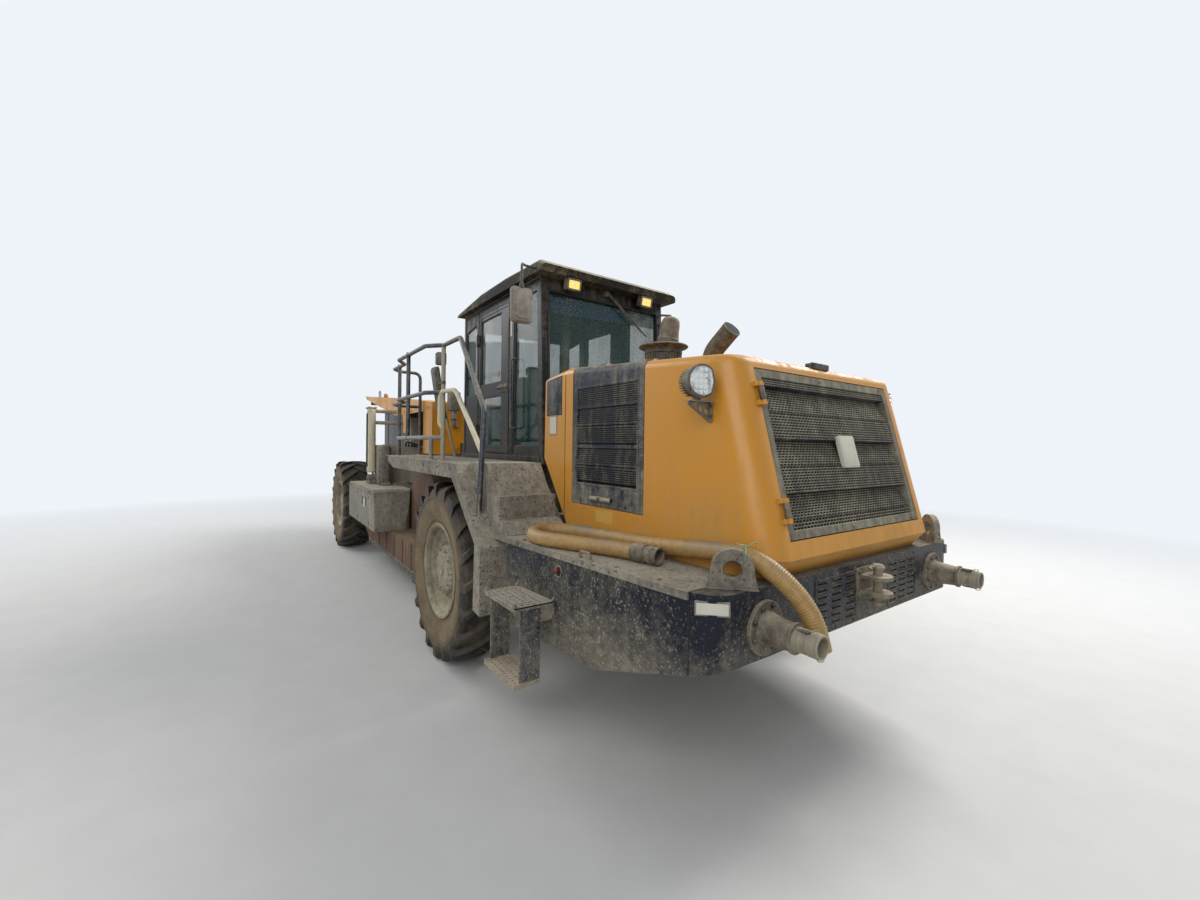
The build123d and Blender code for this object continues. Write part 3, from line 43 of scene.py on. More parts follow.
# Node trees
def rgb(code):
    # Linear colour from a six-digit sRGB code
    channels = [int(code[i:i + 2], 16) / 255 for i in (0, 2, 4)]
    return tuple(c / 12.92 if c <= 0.04045 else ((c + 0.055) / 1.055) ** 2.4 for c in channels) + (1.0,)


class Shader:
    """A material's node tree, built from short calls."""

    def __init__(self, name):
        self.material = bpy.data.materials.new(name)
        self.material.use_nodes = True
        self.tree = self.material.node_tree
        self.tree.nodes.clear()
        self.output = self.node("ShaderNodeOutputMaterial")
        self.base = self.node("ShaderNodeBsdfPrincipled")
        self.tree.links.new(self.base.outputs[0], self.output.inputs["Surface"])
        coordinates = self.node("ShaderNodeTexCoord")
        self.place = coordinates.outputs["Object"]
        self.normal = coordinates.outputs["Normal"]

    def node(self, kind, **settings):
        made = self.tree.nodes.new(kind)
        for key, value in settings.items():
            setattr(made, key, value)
        return made

    def feed(self, socket, value):
        if isinstance(value, bpy.types.NodeSocket):
            self.tree.links.new(value, socket)
        else:
            socket.default_value = value

    def math(self, operation, first, second=0.0, clamp=False):
        made = self.node("ShaderNodeMath", operation=operation, use_clamp=clamp)
        self.feed(made.inputs[0], first)
        self.feed(made.inputs[1], second)
        return made.outputs[0]

    def span(self, value, low, high, start=0.0, end=1.0):
        made = self.node("ShaderNodeMapRange", clamp=True)
        for socket, given in zip(made.inputs[:5], (value, low, high, start, end)):
            self.feed(socket, given)
        return made.outputs[0]

    def blend(self, factor, first, second):
        made = self.node("ShaderNodeMix", data_type="RGBA")
        self.feed(made.inputs[0], factor)
        self.feed(made.inputs[6], first)
        self.feed(made.inputs[7], second)
        return made.outputs[2]

    def axis(self, vector, letter):
        made = self.node("ShaderNodeSeparateXYZ")
        self.feed(made.inputs[0], vector)
        return made.outputs[letter]

    def noise(self, scale, detail=5.0, rough=0.6, stretch=(1, 1, 1), shift=0.0):
        mapping = self.node("ShaderNodeMapping")
        self.feed(mapping.inputs["Vector"], self.place)
        mapping.inputs["Scale"].default_value = stretch
        mapping.inputs["Location"].default_value = (shift, shift * 0.7, shift * 1.3)
        made = self.node("ShaderNodeTexNoise")
        self.feed(made.inputs["Vector"], mapping.outputs[0])
        made.inputs["Scale"].default_value = scale
        made.inputs["Detail"].default_value = detail
        made.inputs["Roughness"].default_value = rough
        return made.outputs["Fac"]

    def bump(self, height, strength, distance):
        made = self.node("ShaderNodeBump")
        made.inputs["Strength"].default_value = strength
        made.inputs["Distance"].default_value = distance
        self.feed(made.inputs["Height"], height)
        return made.outputs[0]

    def edges(self, radius):
        # 1 along sharp edges, 0 on flat ground
        bevel = self.node("ShaderNodeBevel", samples=4)
        bevel.inputs["Radius"].default_value = radius
        geometry = self.node("ShaderNodeNewGeometry")
        dot = self.node("ShaderNodeVectorMath", operation="DOT_PRODUCT")
        self.feed(dot.inputs[0], bevel.outputs[0])
        self.feed(dot.inputs[1], geometry.outputs["Normal"])
        return self.span(dot.outputs["Value"], 0.995, 0.9)

    def finish(self, colour, rough, metallic=0.0, height=None, strength=0.3, distance=0.003):
        self.feed(self.base.inputs["Base Color"], colour)
        self.feed(self.base.inputs["Roughness"], rough)
        self.base.inputs["Metallic"].default_value = metallic
        if height is not None:
            self.feed(self.base.inputs["Normal"], self.bump(height, strength, distance))
        return self.material


def weathered(
    name, paint, dust, cover, top, streak, spatter, low=(0.0, 0.1, 0.0),
    pale="C4B99E", dark_spots=0.0, rough=0.45, metallic=0.0, wear=0.0, bare="6A5A4A", lumps=0.35,
):
    """Paint under dust: patches (cover), top faces (settled dust and painted sunlight), vertical streaks,
    spatter, and more near the ground.
    """
    s = Shader(name)
    patches = s.noise(1.6, 7, 0.62, shift=2.0)
    grain = s.noise(22, 6, 0.7, shift=5.0)
    runs = s.noise(9, 5, 0.6, (1.6, 1.6, 0.1), shift=1.0)
    drops = s.noise(75, 2, 0.5, shift=9.0)
    # Top faces paler: settled dust, and painted sunlight that leaves the sides darker as if in shade
    top_dust_and_light = s.span(s.axis(s.normal, "Z"), 0.35, 0.95, 0.0, top)
    ground = s.span(s.axis(s.place, "Z"), low[1], low[0], 0.0, low[2])
    amount = s.math("ADD", s.span(patches, 0.32, 0.72, cover - 0.3, cover + 0.3), top_dust_and_light)
    amount = s.math("ADD", amount, ground)
    amount = s.math("ADD", amount, s.span(runs, 0.42, 0.7, -streak * 0.4, streak))
    amount = s.math("ADD", amount, s.span(grain, 0.3, 0.7, -0.22, 0.22), clamp=True)
    film = s.blend(grain, rgb(dust), rgb(pale))
    colour = s.blend(s.math("MULTIPLY", amount, 0.92), rgb(paint), film)
    spots = s.math("MULTIPLY", s.span(drops, 0.6, 0.68), s.span(patches, 0.35, 0.6, 0.2, 1.0))
    colour = s.blend(s.math("MULTIPLY", spots, spatter), colour, rgb(pale))
    if dark_spots:
        holes = s.span(s.noise(58, 3, 0.6, shift=14.0), 0.6, 0.66)
        colour = s.blend(s.math("MULTIPLY", holes, dark_spots), colour, rgb("2A2824"))
    if wear:
        rubbed = s.math("MULTIPLY", s.edges(0.006), s.span(grain, 0.35, 0.6))
        colour = s.blend(s.math("MULTIPLY", rubbed, wear), colour, rgb(bare))
    rough_out = s.span(amount, 0.0, 0.7, rough, 0.92)
    return s.finish(colour, rough_out, metallic, s.math("ADD", grain, drops), lumps, 0.002)


def plain(name, colour, rough, metallic=0.0, grain=60, depth=0.15, shade=0.25):
    """One colour with a fine grain and slow variation."""
    s = Shader(name)
    fine = s.noise(grain, 4, 0.6)
    slow = s.noise(6, 4, 0.6, shift=3.0)
    darker = tuple(c * (1 - shade) for c in rgb(colour)[:3]) + (1.0,)
    mixed = s.blend(s.span(slow, 0.3, 0.7), rgb(colour), darker)
    return s.finish(mixed, s.span(fine, 0.3, 0.7, rough - 0.08, rough + 0.08), metallic, fine, depth, 0.001)


def glass_film(name, tint, alpha, dust_alpha):
    """Tinted pane with a film of dust in runs and patches."""
    s = Shader(name)
    runs = s.noise(4, 2, 0.5, (1.5, 1.5, 0.15))
    patches = s.noise(1.5, 2, 0.5, shift=4.0)
    amount = s.math("MULTIPLY", s.span(runs, 0.4, 0.75), s.span(patches, 0.35, 0.7))
    colour = s.blend(amount, rgb(tint), rgb("8C8B7A"))
    cover = s.math("ADD", s.math("MULTIPLY", amount, dust_alpha), alpha, clamp=True)
    s.feed(s.base.inputs["Alpha"], cover)
    return s.finish(colour, s.span(amount, 0.0, 0.6, 0.03, 0.15))


YELLOW = weathered("hood_yellow", "C4841C", "9A7440", 0.1, 0.4, 0.26, 0.1, low=(1.25, 1.75, 0.4),
    pale="B8955C", rough=0.3, wear=0.3, bare="9A7A48", lumps=0.06)
NAVY = weathered("side_navy", "171B26", "6F6A5C", 0.14, 0.5, 0.1, 0.8, low=(0.66, 1.1, 0.5), pale="A59C86",
    rough=0.35, wear=0.4, lumps=0.3)
DOOR_NAVY = weathered("door_navy", "1A2130", "6F6C63", 0.18, 0.45, 0.3, 0.2, low=(1.4, 1.8, 0.45),
    rough=0.38, wear=0.4, lumps=0.15)
# Deck: the top share paints the tops lighter as sunlit and leaves the sides darker as shaded, over real
# dust and specks
DECK = weathered("deck_dust_and_painted_sun", "3E3B37", "8B8373", 0.6, 0.4, 0.15, 0.7, pale="B5AB97", dark_spots=0.95,
    rough=0.85, wear=0.3, lumps=0.6)
CAB = weathered("cab_black", "131417", "544D42", 0.08, 0.4, 0.42, 0.15, low=(1.7, 2.2, 0.3), pale="8A8172",
    rough=0.4, wear=0.25, lumps=0.2)
ROOF = weathered("roof_dusty", "26221D", "8B8069", 0.05, 0.95, 0.1, 0.2, rough=0.8, lumps=0.3)
GREY = weathered("pod_grey", "55544F", "8A8475", 0.4, 0.5, 0.25, 0.3, rough=0.6, wear=0.4)
PALE = weathered("mast_pale", "8E8576", "A99D86", 0.4, 0.3, 0.4, 0.2, rough=0.55, wear=0.6, bare="6B4630")
RUST = weathered("housing_rust", "53392A", "6E5A45", 0.35, 0.6, 0.5, 0.2, pale="8B7458", dark_spots=0.6,
    rough=0.8, wear=0.5, bare="8A5030", lumps=0.7)
STEEL = weathered("worn_steel", "3A332D", "7F7463", 0.4, 0.4, 0.2, 0.3, rough=0.6, metallic=0.3, wear=0.6,
    bare="8A8378", lumps=0.4)
FRAME = weathered("frame_dirty", "26231F", "6B6252", 0.45, 0.5, 0.3, 0.2, rough=0.7)
RAIL = weathered("rail_blue", "1C2230", "6F6C66", 0.12, 0.5, 0.2, 0.2, rough=0.4, lumps=0.1)
PALE_RAIL = weathered("rail_pale", "8D8676", "A79C88", 0.5, 0.3, 0.2, 0.2, rough=0.6)
RIM = weathered("rim_dusty", "5C5648", "867D69", 0.55, 0.2, 0.2, 0.3, dark_spots=0.2, rough=0.75, wear=0.3,
    lumps=0.4)
MESH = weathered("mesh_dusty", "3A3A37", "7C7562", 0.6, 0.5, 0.45, 0.2, pale="A79E84", rough=0.75,
    lumps=0.2)
DARK_MESH = weathered("mesh_dark", "14161A", "5A554A", 0.22, 0.6, 0.45, 0.1, rough=0.6, lumps=0.2)
# Near-black fill set into openings, slots and holes: painted shade
PAINTED_SHADE = plain("painted_shade_black", "0B0B0B", 0.9)
RUBBER = plain("black_rubber", "101010", 0.7)
PLASTIC = weathered("black_plastic", "161616", "7A7466", 0.2, 0.5, 0.2, 0.2, rough=0.5)
MIRROR_BACK = weathered("mirror_shell", "5E5A53", "98907F", 0.6, 0.3, 0.1, 0.4, pale="B0A897", rough=0.7)
CHROME = plain("lamp_reflector", "E8E8E4", 0.12, 1.0, shade=0.1)
EXHAUST = weathered("exhaust_steel", "2A2320", "5E5247", 0.4, 0.5, 0.2, 0.1, rough=0.6, metallic=0.5)
PLATE = weathered("blank_plate", "C9C5B8", "9A917C", 0.35, 0.2, 0.2, 0.4, rough=0.6)
LABEL = weathered("blank_label", "C7973A", "A48A58", 0.25, 0.2, 0.2, 0.3, rough=0.6)
SEAT = plain("seat_cloth", "15161A", 0.9, grain=300, depth=0.4)
GLASS = glass_film("cab_glass_tint", "2F524D", 0.3, 0.22)
LENS = glass_film("lamp_lens", "DCE4E4", 0.18, 0.25)
DRUM = weathered("drum_worn", "3B332C", "6A5D4C", 0.45, 0.3, 0.1, 0.3, rough=0.7, metallic=0.3, wear=0.6)


def lit_lens(name):
    """Warm light of the two work lamps under the roof's edge."""
    s = Shader(name)
    s.feed(s.base.inputs["Emission Color"], rgb("FBD671"))
    s.base.inputs["Emission Strength"].default_value = 0.75
    return s.finish(rgb("E8C66A"), 0.3)


LIT = lit_lens("work_lamp_light")

# Dusty dark paint shines little
for material in (CAB, DOOR_NAVY, NAVY, ROOF):
    for node in material.node_tree.nodes:
        if node.type == "BSDF_PRINCIPLED":
            node.inputs["Specular IOR Level"].default_value = 0.2


def rubber(name, mud, dark, reach):
    """Tyre rubber, muddy on the sidewall and darker towards the tread."""
    s = Shader(name)
    flat = s.node("ShaderNodeVectorMath", operation="MULTIPLY")
    s.feed(flat.inputs[0], s.place)
    flat.inputs[1].default_value = (1, 0, 1)
    length = s.node("ShaderNodeVectorMath", operation="LENGTH")
    s.feed(length.inputs[0], flat.outputs[0])
    grain = s.noise(24, 6, 0.7)
    patches = s.noise(5, 6, 0.65, shift=3.0)
    mud_share = s.math("ADD", s.span(length.outputs["Value"], reach, reach - 0.12, 0.0, 0.8),
        s.span(patches, 0.35, 0.7, -0.15, 0.5), clamp=True)
    colour = s.blend(mud_share, rgb(dark), s.blend(grain, rgb(mud), rgb("8A7A5E")))
    return s.finish(colour, s.span(mud_share, 0.0, 0.8, 0.7, 0.95), 0.0, grain, 0.5, 0.004)


TYRE = rubber("tyre_muddy", "5E4E38", "1D1B18", 0.7)


# Mesh building
class Piece:
    """Shapes gathered into one mesh that rides on a body."""

    def __init__(self, name, body, slot, material, replaces=(), origin=(0, 0, 0), sharp=32):
        self.name, self.body, self.slot = name, body, slot
        self.replaced, self.origin, self.sharp = replaces, Vector(origin), sharp
        self.bm = bmesh.new()
        self.materials = [material]
        self.index = 0

    def use(self, material):
        if material not in self.materials:
            self.materials.append(material)
        self.index = self.materials.index(material)
        return self

    def add(self, points, faces):
        """Vertices and faces as they are. Returns the new faces."""
        made = [self.bm.verts.new(Vector(p) - self.origin) for p in points]
        out = []
        for face in faces:
            try:
                new = self.bm.faces.new([made[i] for i in face])
            except ValueError:
                continue
            new.material_index = self.index
            new.smooth = True
            out.append(new)
        return out

    def solid(self, points, faces):
        """Vertices and faces, with the normals turned outwards. Returns the new faces."""
        made = self.add(points, faces)
        bmesh.ops.recalc_face_normals(self.bm, faces=made)
        return made

    def soften(self, faces, width, steps, angle=25):
        edges = {e for f in faces for e in f.edges if e.is_manifold
            and e.calc_face_angle(0) > radians(angle)}
        if edges and width > 0:
            made = bmesh.ops.bevel(self.bm, geom=list(edges), offset=width, segments=steps, profile=0.6,
                affect="EDGES", clamp_overlap=True)
            for face in made["faces"]:
                face.material_index = self.index
                face.smooth = True

    def prism(self, outline, low, high, axis, bevel, steps, place=None):
        """Outline in the plane across the axis, between two heights. For y the outline is (x, z)."""
        order = {"x": (2, 0, 1), "y": (0, 2, 1), "z": (0, 1, 2)}[axis]
        count = len(outline)
        points = [Vector([(a, b, c)[i] for i in order]) for c in (low, high) for a, b in outline]
        if place is not None:
            points = [place @ p for p in points]
        faces = [tuple(range(count)), tuple(range(2 * count - 1, count - 1, -1))]
        faces += [(i, i + count, (i + 1) % count + count, (i + 1) % count) for i in range(count)]
        self.soften(self.solid(points, faces), bevel, steps)
        return self

    def panel(self, low, high, radius, rounding, bottom, top, bevel, steps, place=None, axis="z"):
        """Plate with round corners between two depths."""
        return self.prism(round_box(low, high, radius, rounding), bottom, top, axis, bevel, steps, place)

    def bent(self, points, corner, radius, segments):
        """Round bar along a route whose corners are turned into arcs."""
        return self.tube(rounded_path(points, corner), radius, segments)

    def block(self, low, high, bevel, steps, place=None):
        outline = [(low[0], low[1]), (high[0], low[1]), (high[0], high[1]), (low[0], high[1])]
        return self.prism(outline, low[2], high[2], "z", bevel, steps, place)

    def turned(self, profile, centre, axis, segments, place=None, closed=False):
        """Profile of (along, radius) turned about an axis through centre."""
        frames = {
            "x": lambda a, r, t: (a, r * cos(t), r * sin(t)),
            "y": lambda a, r, t: (r * sin(t), a, r * cos(t)),
            "z": lambda a, r, t: (r * cos(t), r * sin(t), a),
        }
        spin = frames[axis]
        points = []
        for step in range(segments):
            turn = tau * step / segments
            points += [Vector(centre) + Vector(spin(a, r, turn)) for a, r in profile]
        if place is not None:
            points = [place @ p for p in points]
        count = len(profile)
        last = count if closed else count - 1
        faces = []
        for step in range(segments):
            following = (step + 1) % segments
            for i in range(last):
                j = (i + 1) % count
                faces.append((step * count + i, step * count + j, following * count + j,
                    following * count + i))
        made = self.add(points, faces)
        bmesh.ops.remove_doubles(self.bm, verts=list({v for f in made for v in f.verts}), dist=1e-6)
        made = [f for f in made if f.is_valid]
        bmesh.ops.recalc_face_normals(self.bm, faces=made)
        return self

    def tube(self, path, radius, segments, radii=None):
        """Round bar along a list of points, with capped ends."""
        path = [Vector(p) for p in path]
        rings = []
        side = None
        for i, point in enumerate(path):
            ahead = path[min(i + 1, len(path) - 1)] - path[max(i - 1, 0)]
            ahead.normalize()
            if side is None:
                side = ahead.cross(Vector((0, 0, 1)))
                if side.length < 0.1:
                    side = ahead.cross(Vector((0, 1, 0)))
            side = (side - ahead * side.dot(ahead)).normalized()
            up = ahead.cross(side)
            size = radius if radii is None else radii[i]
            rings.append([
                point + (side * cos(tau * k / segments) + up * sin(tau * k / segments)) * size
                for k in range(segments)
            ])
        points = [p for ring in rings for p in ring]
        faces = [tuple(range(segments)), tuple(range(len(points) - segments, len(points)))]
        for i in range(len(rings) - 1):
            for k in range(segments):
                j = (k + 1) % segments
                faces.append((i * segments + k, i * segments + j, (i + 1) * segments + j,
                    (i + 1) * segments + k))
        self.solid(points, faces)
        return self

    def bolt(self, at, direction, radius, height):
        """Six-sided bolt head with its washer."""
        place = Matrix.Translation(at) @ toward(direction)
        self.turned([(0, 0), (0, radius * 1.45), (0.002, radius * 1.45), (0.002, 0)], (0, 0, 0), "z", 12,
            place)
        head = [(radius * cos(a * pi / 3), radius * sin(a * pi / 3)) for a in range(6)]
        self.prism(head, 0.002, height, "z", 0.001, 1, place)
        return self

    def done(self):
        mesh = bpy.data.meshes.new(self.name)
        self.bm.to_mesh(mesh)
        self.bm.free()
        for material in self.materials:
            mesh.materials.append(material)
        mesh.set_sharp_from_angle(angle=radians(self.sharp))
        made = bpy.data.objects.new(self.name, mesh)
        made.location = self.origin
        bpy.context.scene.collection.objects.link(made)
        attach(made, self.body)
        if self.replaced:
            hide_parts(*self.replaced)
        return made


def rounded_path(points, radius, steps=6):
    """Corners of a route turned into arcs."""
    points = [Vector(p) for p in points]
    path = [points[0]]
    for before, here, after in zip(points, points[1:], points[2:]):
        to_before = before - here
        to_after = after - here
        turn = pi - to_before.angle(to_after)
        cut = min(radius * tan(turn / 2), to_before.length * 0.49, to_after.length * 0.49)
        start = here + to_before.normalized() * cut
        end = here + to_after.normalized() * cut
        for k in range(steps + 1):
            t = k / steps
            path.append(start * (1 - t) ** 2 + here * 2 * t * (1 - t) + end * t * t)
    path.append(points[-1])
    return path


def ring(count, radius, start=0.0):
    return [(radius * cos(tau * k / count + start), radius * sin(tau * k / count + start))
        for k in range(count)]


def round_box(low, high, radius, steps):
    """Rectangle with round corners, as outline points."""
    out = []
    corners = ((high[0] - radius, high[1] - radius, 0), (low[0] + radius, high[1] - radius, 90),
        (low[0] + radius, low[1] + radius, 180), (high[0] - radius, low[1] + radius, 270))
    for x, y, start in corners:
        for k in range(steps + 1):
            a = radians(start + 90 * k / steps)
            out.append((x + radius * cos(a), y + radius * sin(a)))
    return out


def shifted(x, y, z):
    return Matrix.Translation((x, y, z))


def spun(angle, axis):
    return Matrix.Rotation(angle, 4, axis)


def toward(direction, axis=(0, 0, 1)):
    """Turn that brings an axis to a direction."""
    return Vector(axis).rotation_difference(Vector(direction)).to_matrix().to_4x4()


# Camera: solved from the photograph
CAMERA_PLACE = Vector((5.949, -2.821, 1.892))
CAMERA_YAW, CAMERA_PITCH, CAMERA_ROLL = (radians(a) for a in (144.18, -0.48, 0.78))
FOCAL_PIXELS = 487.7
PHOTO_WIDTH = 1200
SENSOR = 36.0
ahead = Vector((cos(CAMERA_PITCH) * cos(CAMERA_YAW), cos(CAMERA_PITCH) * sin(CAMERA_YAW),
    sin(CAMERA_PITCH)))
right = Vector((sin(CAMERA_YAW), -cos(CAMERA_YAW), 0))
above = right.cross(ahead)
rolled_right = right * cos(CAMERA_ROLL) + above * sin(CAMERA_ROLL)
rolled_above = above * cos(CAMERA_ROLL) - right * sin(CAMERA_ROLL)
camera = bpy.data.objects.new("camera", bpy.data.cameras.new("camera"))
camera.data.sensor_width = SENSOR
camera.data.lens = SENSOR * FOCAL_PIXELS / PHOTO_WIDTH
camera.data.clip_end = 200
turned_axes = Matrix((rolled_right, rolled_above, -ahead)).transposed().to_4x4()
camera.matrix_world = Matrix.Translation(CAMERA_PLACE) @ turned_axes
bpy.context.scene.collection.objects.link(camera)
bpy.context.scene.camera = camera

# Suction hose with moulded spiral ribs
HOSE_RADIUS = 0.046
HOSE_POINTS = [
    (3.945, -1.089, 1.3143), (3.79, -1.121, 1.3143), (3.61, -1.19, 1.3083), (3.43, -1.262, 1.3083),
    (3.285, -1.325, 1.3083), (3.14, -1.325, 1.3083), (3.03, -1.24, 1.3083), (3.012, -1.115, 1.3083),
    (3.12, -1.015, 1.3083), (3.31, -0.967, 1.3083), (3.56, -0.953, 1.32), (3.81, -0.948, 1.33),
    (4.06, -0.943, 1.35), (4.29, -0.939, 1.376), (4.46, -0.934, 1.392), (4.566, -0.914, 1.376),
    (4.66, -0.862, 1.3), (4.732, -0.815, 1.208), (4.782, -0.793, 1.105), (4.8, -0.786, 1.01),
]


def spline_path(points, name):
    """Points along the smooth line of the route."""
    curve = bpy.data.curves.new(name, "CURVE")
    curve.dimensions = "3D"
    spline = curve.splines.new("NURBS")
    spline.points.add(len(points) - 1)
    for control, place in zip(spline.points, points):
        control.co = (*place, 1.0)
    spline.order_u = 3
    spline.use_endpoint_u = True
    curve.resolution_u = 24
    holder = bpy.data.objects.new(name, curve)
    bpy.context.scene.collection.objects.link(holder)
    line = bpy.data.meshes.new_from_object(holder)
    path = [v.co.copy() for v in line.vertices]
    bpy.data.objects.remove(holder)
    bpy.data.meshes.remove(line)
    return path


def even_path(path, step):
    """The same line with points at an even distance."""
    out = [path[0].copy()]
    carry = 0.0
    for start, end in zip(path, path[1:]):
        length = (end - start).length
        while length > 0 and carry + length >= step:
            share = (step - carry) / length
            start = start.lerp(end, share)
            length = (end - start).length
            out.append(start.copy())
            carry = 0.0
        carry += length
    out.append(path[-1].copy())
    return out


def hose_material():
    s = Shader("hose_tan")
    grain = s.noise(30, 5, 0.65)
    patches = s.noise(3.5, 5, 0.6, shift=2.0)
    dusty = s.math("MULTIPLY", s.span(s.axis(s.normal, "Z"), -0.2, 0.9), s.span(patches, 0.4, 0.62))
    colour = s.blend(s.span(grain, 0.3, 0.7), rgb("94703A"), rgb("A98A55"))
    colour = s.blend(s.math("MULTIPLY", dusty, 0.85), colour, rgb("7A705C"))
    s.feed(s.base.inputs["Subsurface Weight"], 0.1)
    return s.finish(colour, 0.45, 0.0, grain, 0.2, 0.002)


RIB_PITCH = 0.0125
RIB_HEIGHT = 0.0018
HOSE_SEGMENTS = 28
hose_line = even_path(spline_path(HOSE_POINTS, "hose_line"), RIB_PITCH / 4)
hose = Piece("suction_hose", "chassis", "hose_plastic", hose_material(), ("hose",), sharp=60)
hose_radii = [HOSE_RADIUS - RIB_HEIGHT * (0.5 + 0.5 * cos(pi * k / 2)) for k in range(len(hose_line))]
hose.tube(hose_line, HOSE_RADIUS, HOSE_SEGMENTS, radii=hose_radii)
hose = hose.done()

coupling = Piece("hose_end_coupling", "chassis", "coupling_aluminium", STEEL, ("hose_coupling",))
coupling_axis = (Vector(HOSE_POINTS[0]) - Vector(HOSE_POINTS[1])).normalized()
coupling_place = Matrix.Translation(HOSE_POINTS[0]) @ toward(coupling_axis, (1, 0, 0))
coupling.turned([(-0.05, 0.0495), (-0.045, 0.0515), (-0.038, 0.0495), (-0.02, 0.0495), (-0.016, 0.0515),
    (-0.008, 0.0515), (0, 0.048), (0.015, 0.05), (0.03, 0.05), (0.034, 0.043), (0.06, 0.043),
    (0.064, 0.0515), (0.082, 0.0515), (0.086, 0.047), (0.12, 0.047), (0.12, 0.039), (0.02, 0.039),
    (0.02, 0)], (0, 0, 0), "x", 40, coupling_place)
for turn in (0.6, 3.7):
    ear = spun(turn, "X")
    coupling.block((0.055, -0.008, 0.042), (0.098, 0.008, 0.052), 0.002, 1, coupling_place @ ear)
coupling = coupling.done()

# Tyres: carcass with two rows of slanted lugs
TYRE_RADIUS = 0.775
TREAD_RADIUS = 0.737
BEAD_RADIUS = 0.384
LUGS = 20
LUG_SLANT = 0.3
HUB_Y = 1.25
AXLES = (("front", 1.634), ("rear", -4.076))
CARCASS = [(0.18, BEAD_RADIUS), (0.186, 0.42), (0.205, 0.47), (0.226, 0.54), (0.233, 0.6), (0.231, 0.655),
    (0.222, 0.695), (0.2, 0.722), (0.14, 0.732), (0.0, TREAD_RADIUS)]


def carcass_radius(y):
    outer = [(y0, r0) for y0, r0 in CARCASS if r0 > 0.65]
    for (y1, r1), (y0, r0) in zip(outer, outer[1:]):
        if y0 <= abs(y) <= y1:
            return r0 + (r1 - r0) * (abs(y) - y0) / (y1 - y0)
    return 0.66


def make_tyre(name, body, node, centre, side):
    piece = Piece(name, body, "tyre", TYRE, (node,), centre, sharp=40)
    half = CARCASS[::-1]
    profile = [(-y, r) for y, r in CARCASS] + [(y, r) for y, r in half[1:]] + [(0.0, BEAD_RADIUS)]
    piece.turned(profile, centre, "y", 120, closed=True)
    # Each lug: share of its run, distance from the middle, its top radius, half its width
    steps = ((0.0, -0.022, 0.775, 0.019), (0.25, 0.04, 0.775, 0.021), (0.6, 0.13, 0.773, 0.023),
        (0.88, 0.205, 0.768, 0.026), (1.0, 0.2335, 0.752, 0.029), (1.03, 0.2338, 0.7, 0.027),
        (1.04, 0.2336, 0.655, 0.02))
    rng = random.Random(node)
    for half_side in (-1, 1):
        for k in range(LUGS):
            start = tau * (k + (0.5 if half_side > 0 else 0.0)) / LUGS
            jitter = rng.uniform(-0.003, 0.003)
            points = []
            for share, y, top, width in steps:
                turn = start - side * LUG_SLANT * share ** 0.85
                base = min(carcass_radius(y) - 0.012, top - 0.02)
                spread = width / top
                for radius, wide in ((base, 1.35), (top - 0.01, 1.08), (top, 0.92), (top, -0.92),
                        (top - 0.01, -1.08), (base, -1.35)):
                    angle = turn + wide * spread
                    radius += jitter
                    points.append(Vector(centre) + Vector((radius * sin(angle), half_side * y,
                        radius * cos(angle))))
            rows = len(steps)
            faces = [tuple(range(6)), tuple(range(6 * (rows - 1), 6 * rows))]
            for i in range(rows - 1):
                for j in range(6):
                    n = (j + 1) % 6
                    faces.append((6 * i + j, 6 * i + n, 6 * (i + 1) + n, 6 * (i + 1) + j))
            piece.solid(points, faces)
    # Sidewall rings
    for y_side in (-1, 1):
        for radius, y in ((0.455, 0.2), (0.64, 0.2325)):
            section = [(y_side * (y + 0.0035 * sin(a)), radius + 0.007 * cos(a))
                for a in [k * pi / 3 for k in range(6)]]
            piece.turned(section, centre, "y", 96, closed=True)
    return piece.done()


RIM_PROFILE = [(-0.2, 0.41), (-0.186, 0.414), (-0.184, 0.4), (-0.186, 0.381), (0.186, 0.381), (0.184, 0.4),
    (0.186, 0.412), (0.196, 0.416), (0.204, 0.41), (0.203, 0.394), (0.19, 0.378), (0.172, 0.372),
    (0.15, 0.372), (0.128, 0.352), (0.1, 0.344), (0.092, 0.33), (0.09, 0.262), (0.096, 0.25),
    (0.112, 0.236), (0.12, 0.215), (0.148, 0.207), (0.158, 0.196), (0.164, 0.15), (0.17, 0.14), (0.17, 0.0),
    (0.051, 0.0), (0.051, 0.061), (-0.05, 0.061), (-0.05, 0.165), (0.07, 0.21), (0.07, 0.32),
    (-0.196, 0.36)]


def make_rim(name, body, node, centre, side):
    piece = Piece(name, body, "rim_paint", RIM, (node,), centre, sharp=30)
    piece.turned([(side * y, r) for y, r in RIM_PROFILE], centre, "y", 96, closed=True)
    out = (0, side, 0)
    for count, radius, offset, size in ((20, 0.236, 0.11, 0.012), (10, 0.175, 0.161, 0.01),
            (24, 0.196, 0.156, 0.006)):
        for a, b in ring(count, radius):
            piece.bolt((centre[0] + a, centre[1] + side * offset, centre[2] + b), out, size, size * 1.6)
    piece.turned([(side * 0.168, 0.048), (side * 0.182, 0.044), (side * 0.184, 0.0)], centre, "y", 32)
    return piece.done()


for axle_name, axle_x in AXLES:
    for side_name, side in SIDES:
        wheel = f"{axle_name}_{side_name}"
        centre = (axle_x, side * HUB_Y, TYRE_RADIUS)
        make_tyre(f"{wheel}_tyre_lugged", f"wheel_{wheel}", f"tyre_{wheel}", centre, side)
        make_rim(f"{wheel}_rim_turned", f"wheel_{wheel}", f"rim_{wheel}", centre, side)

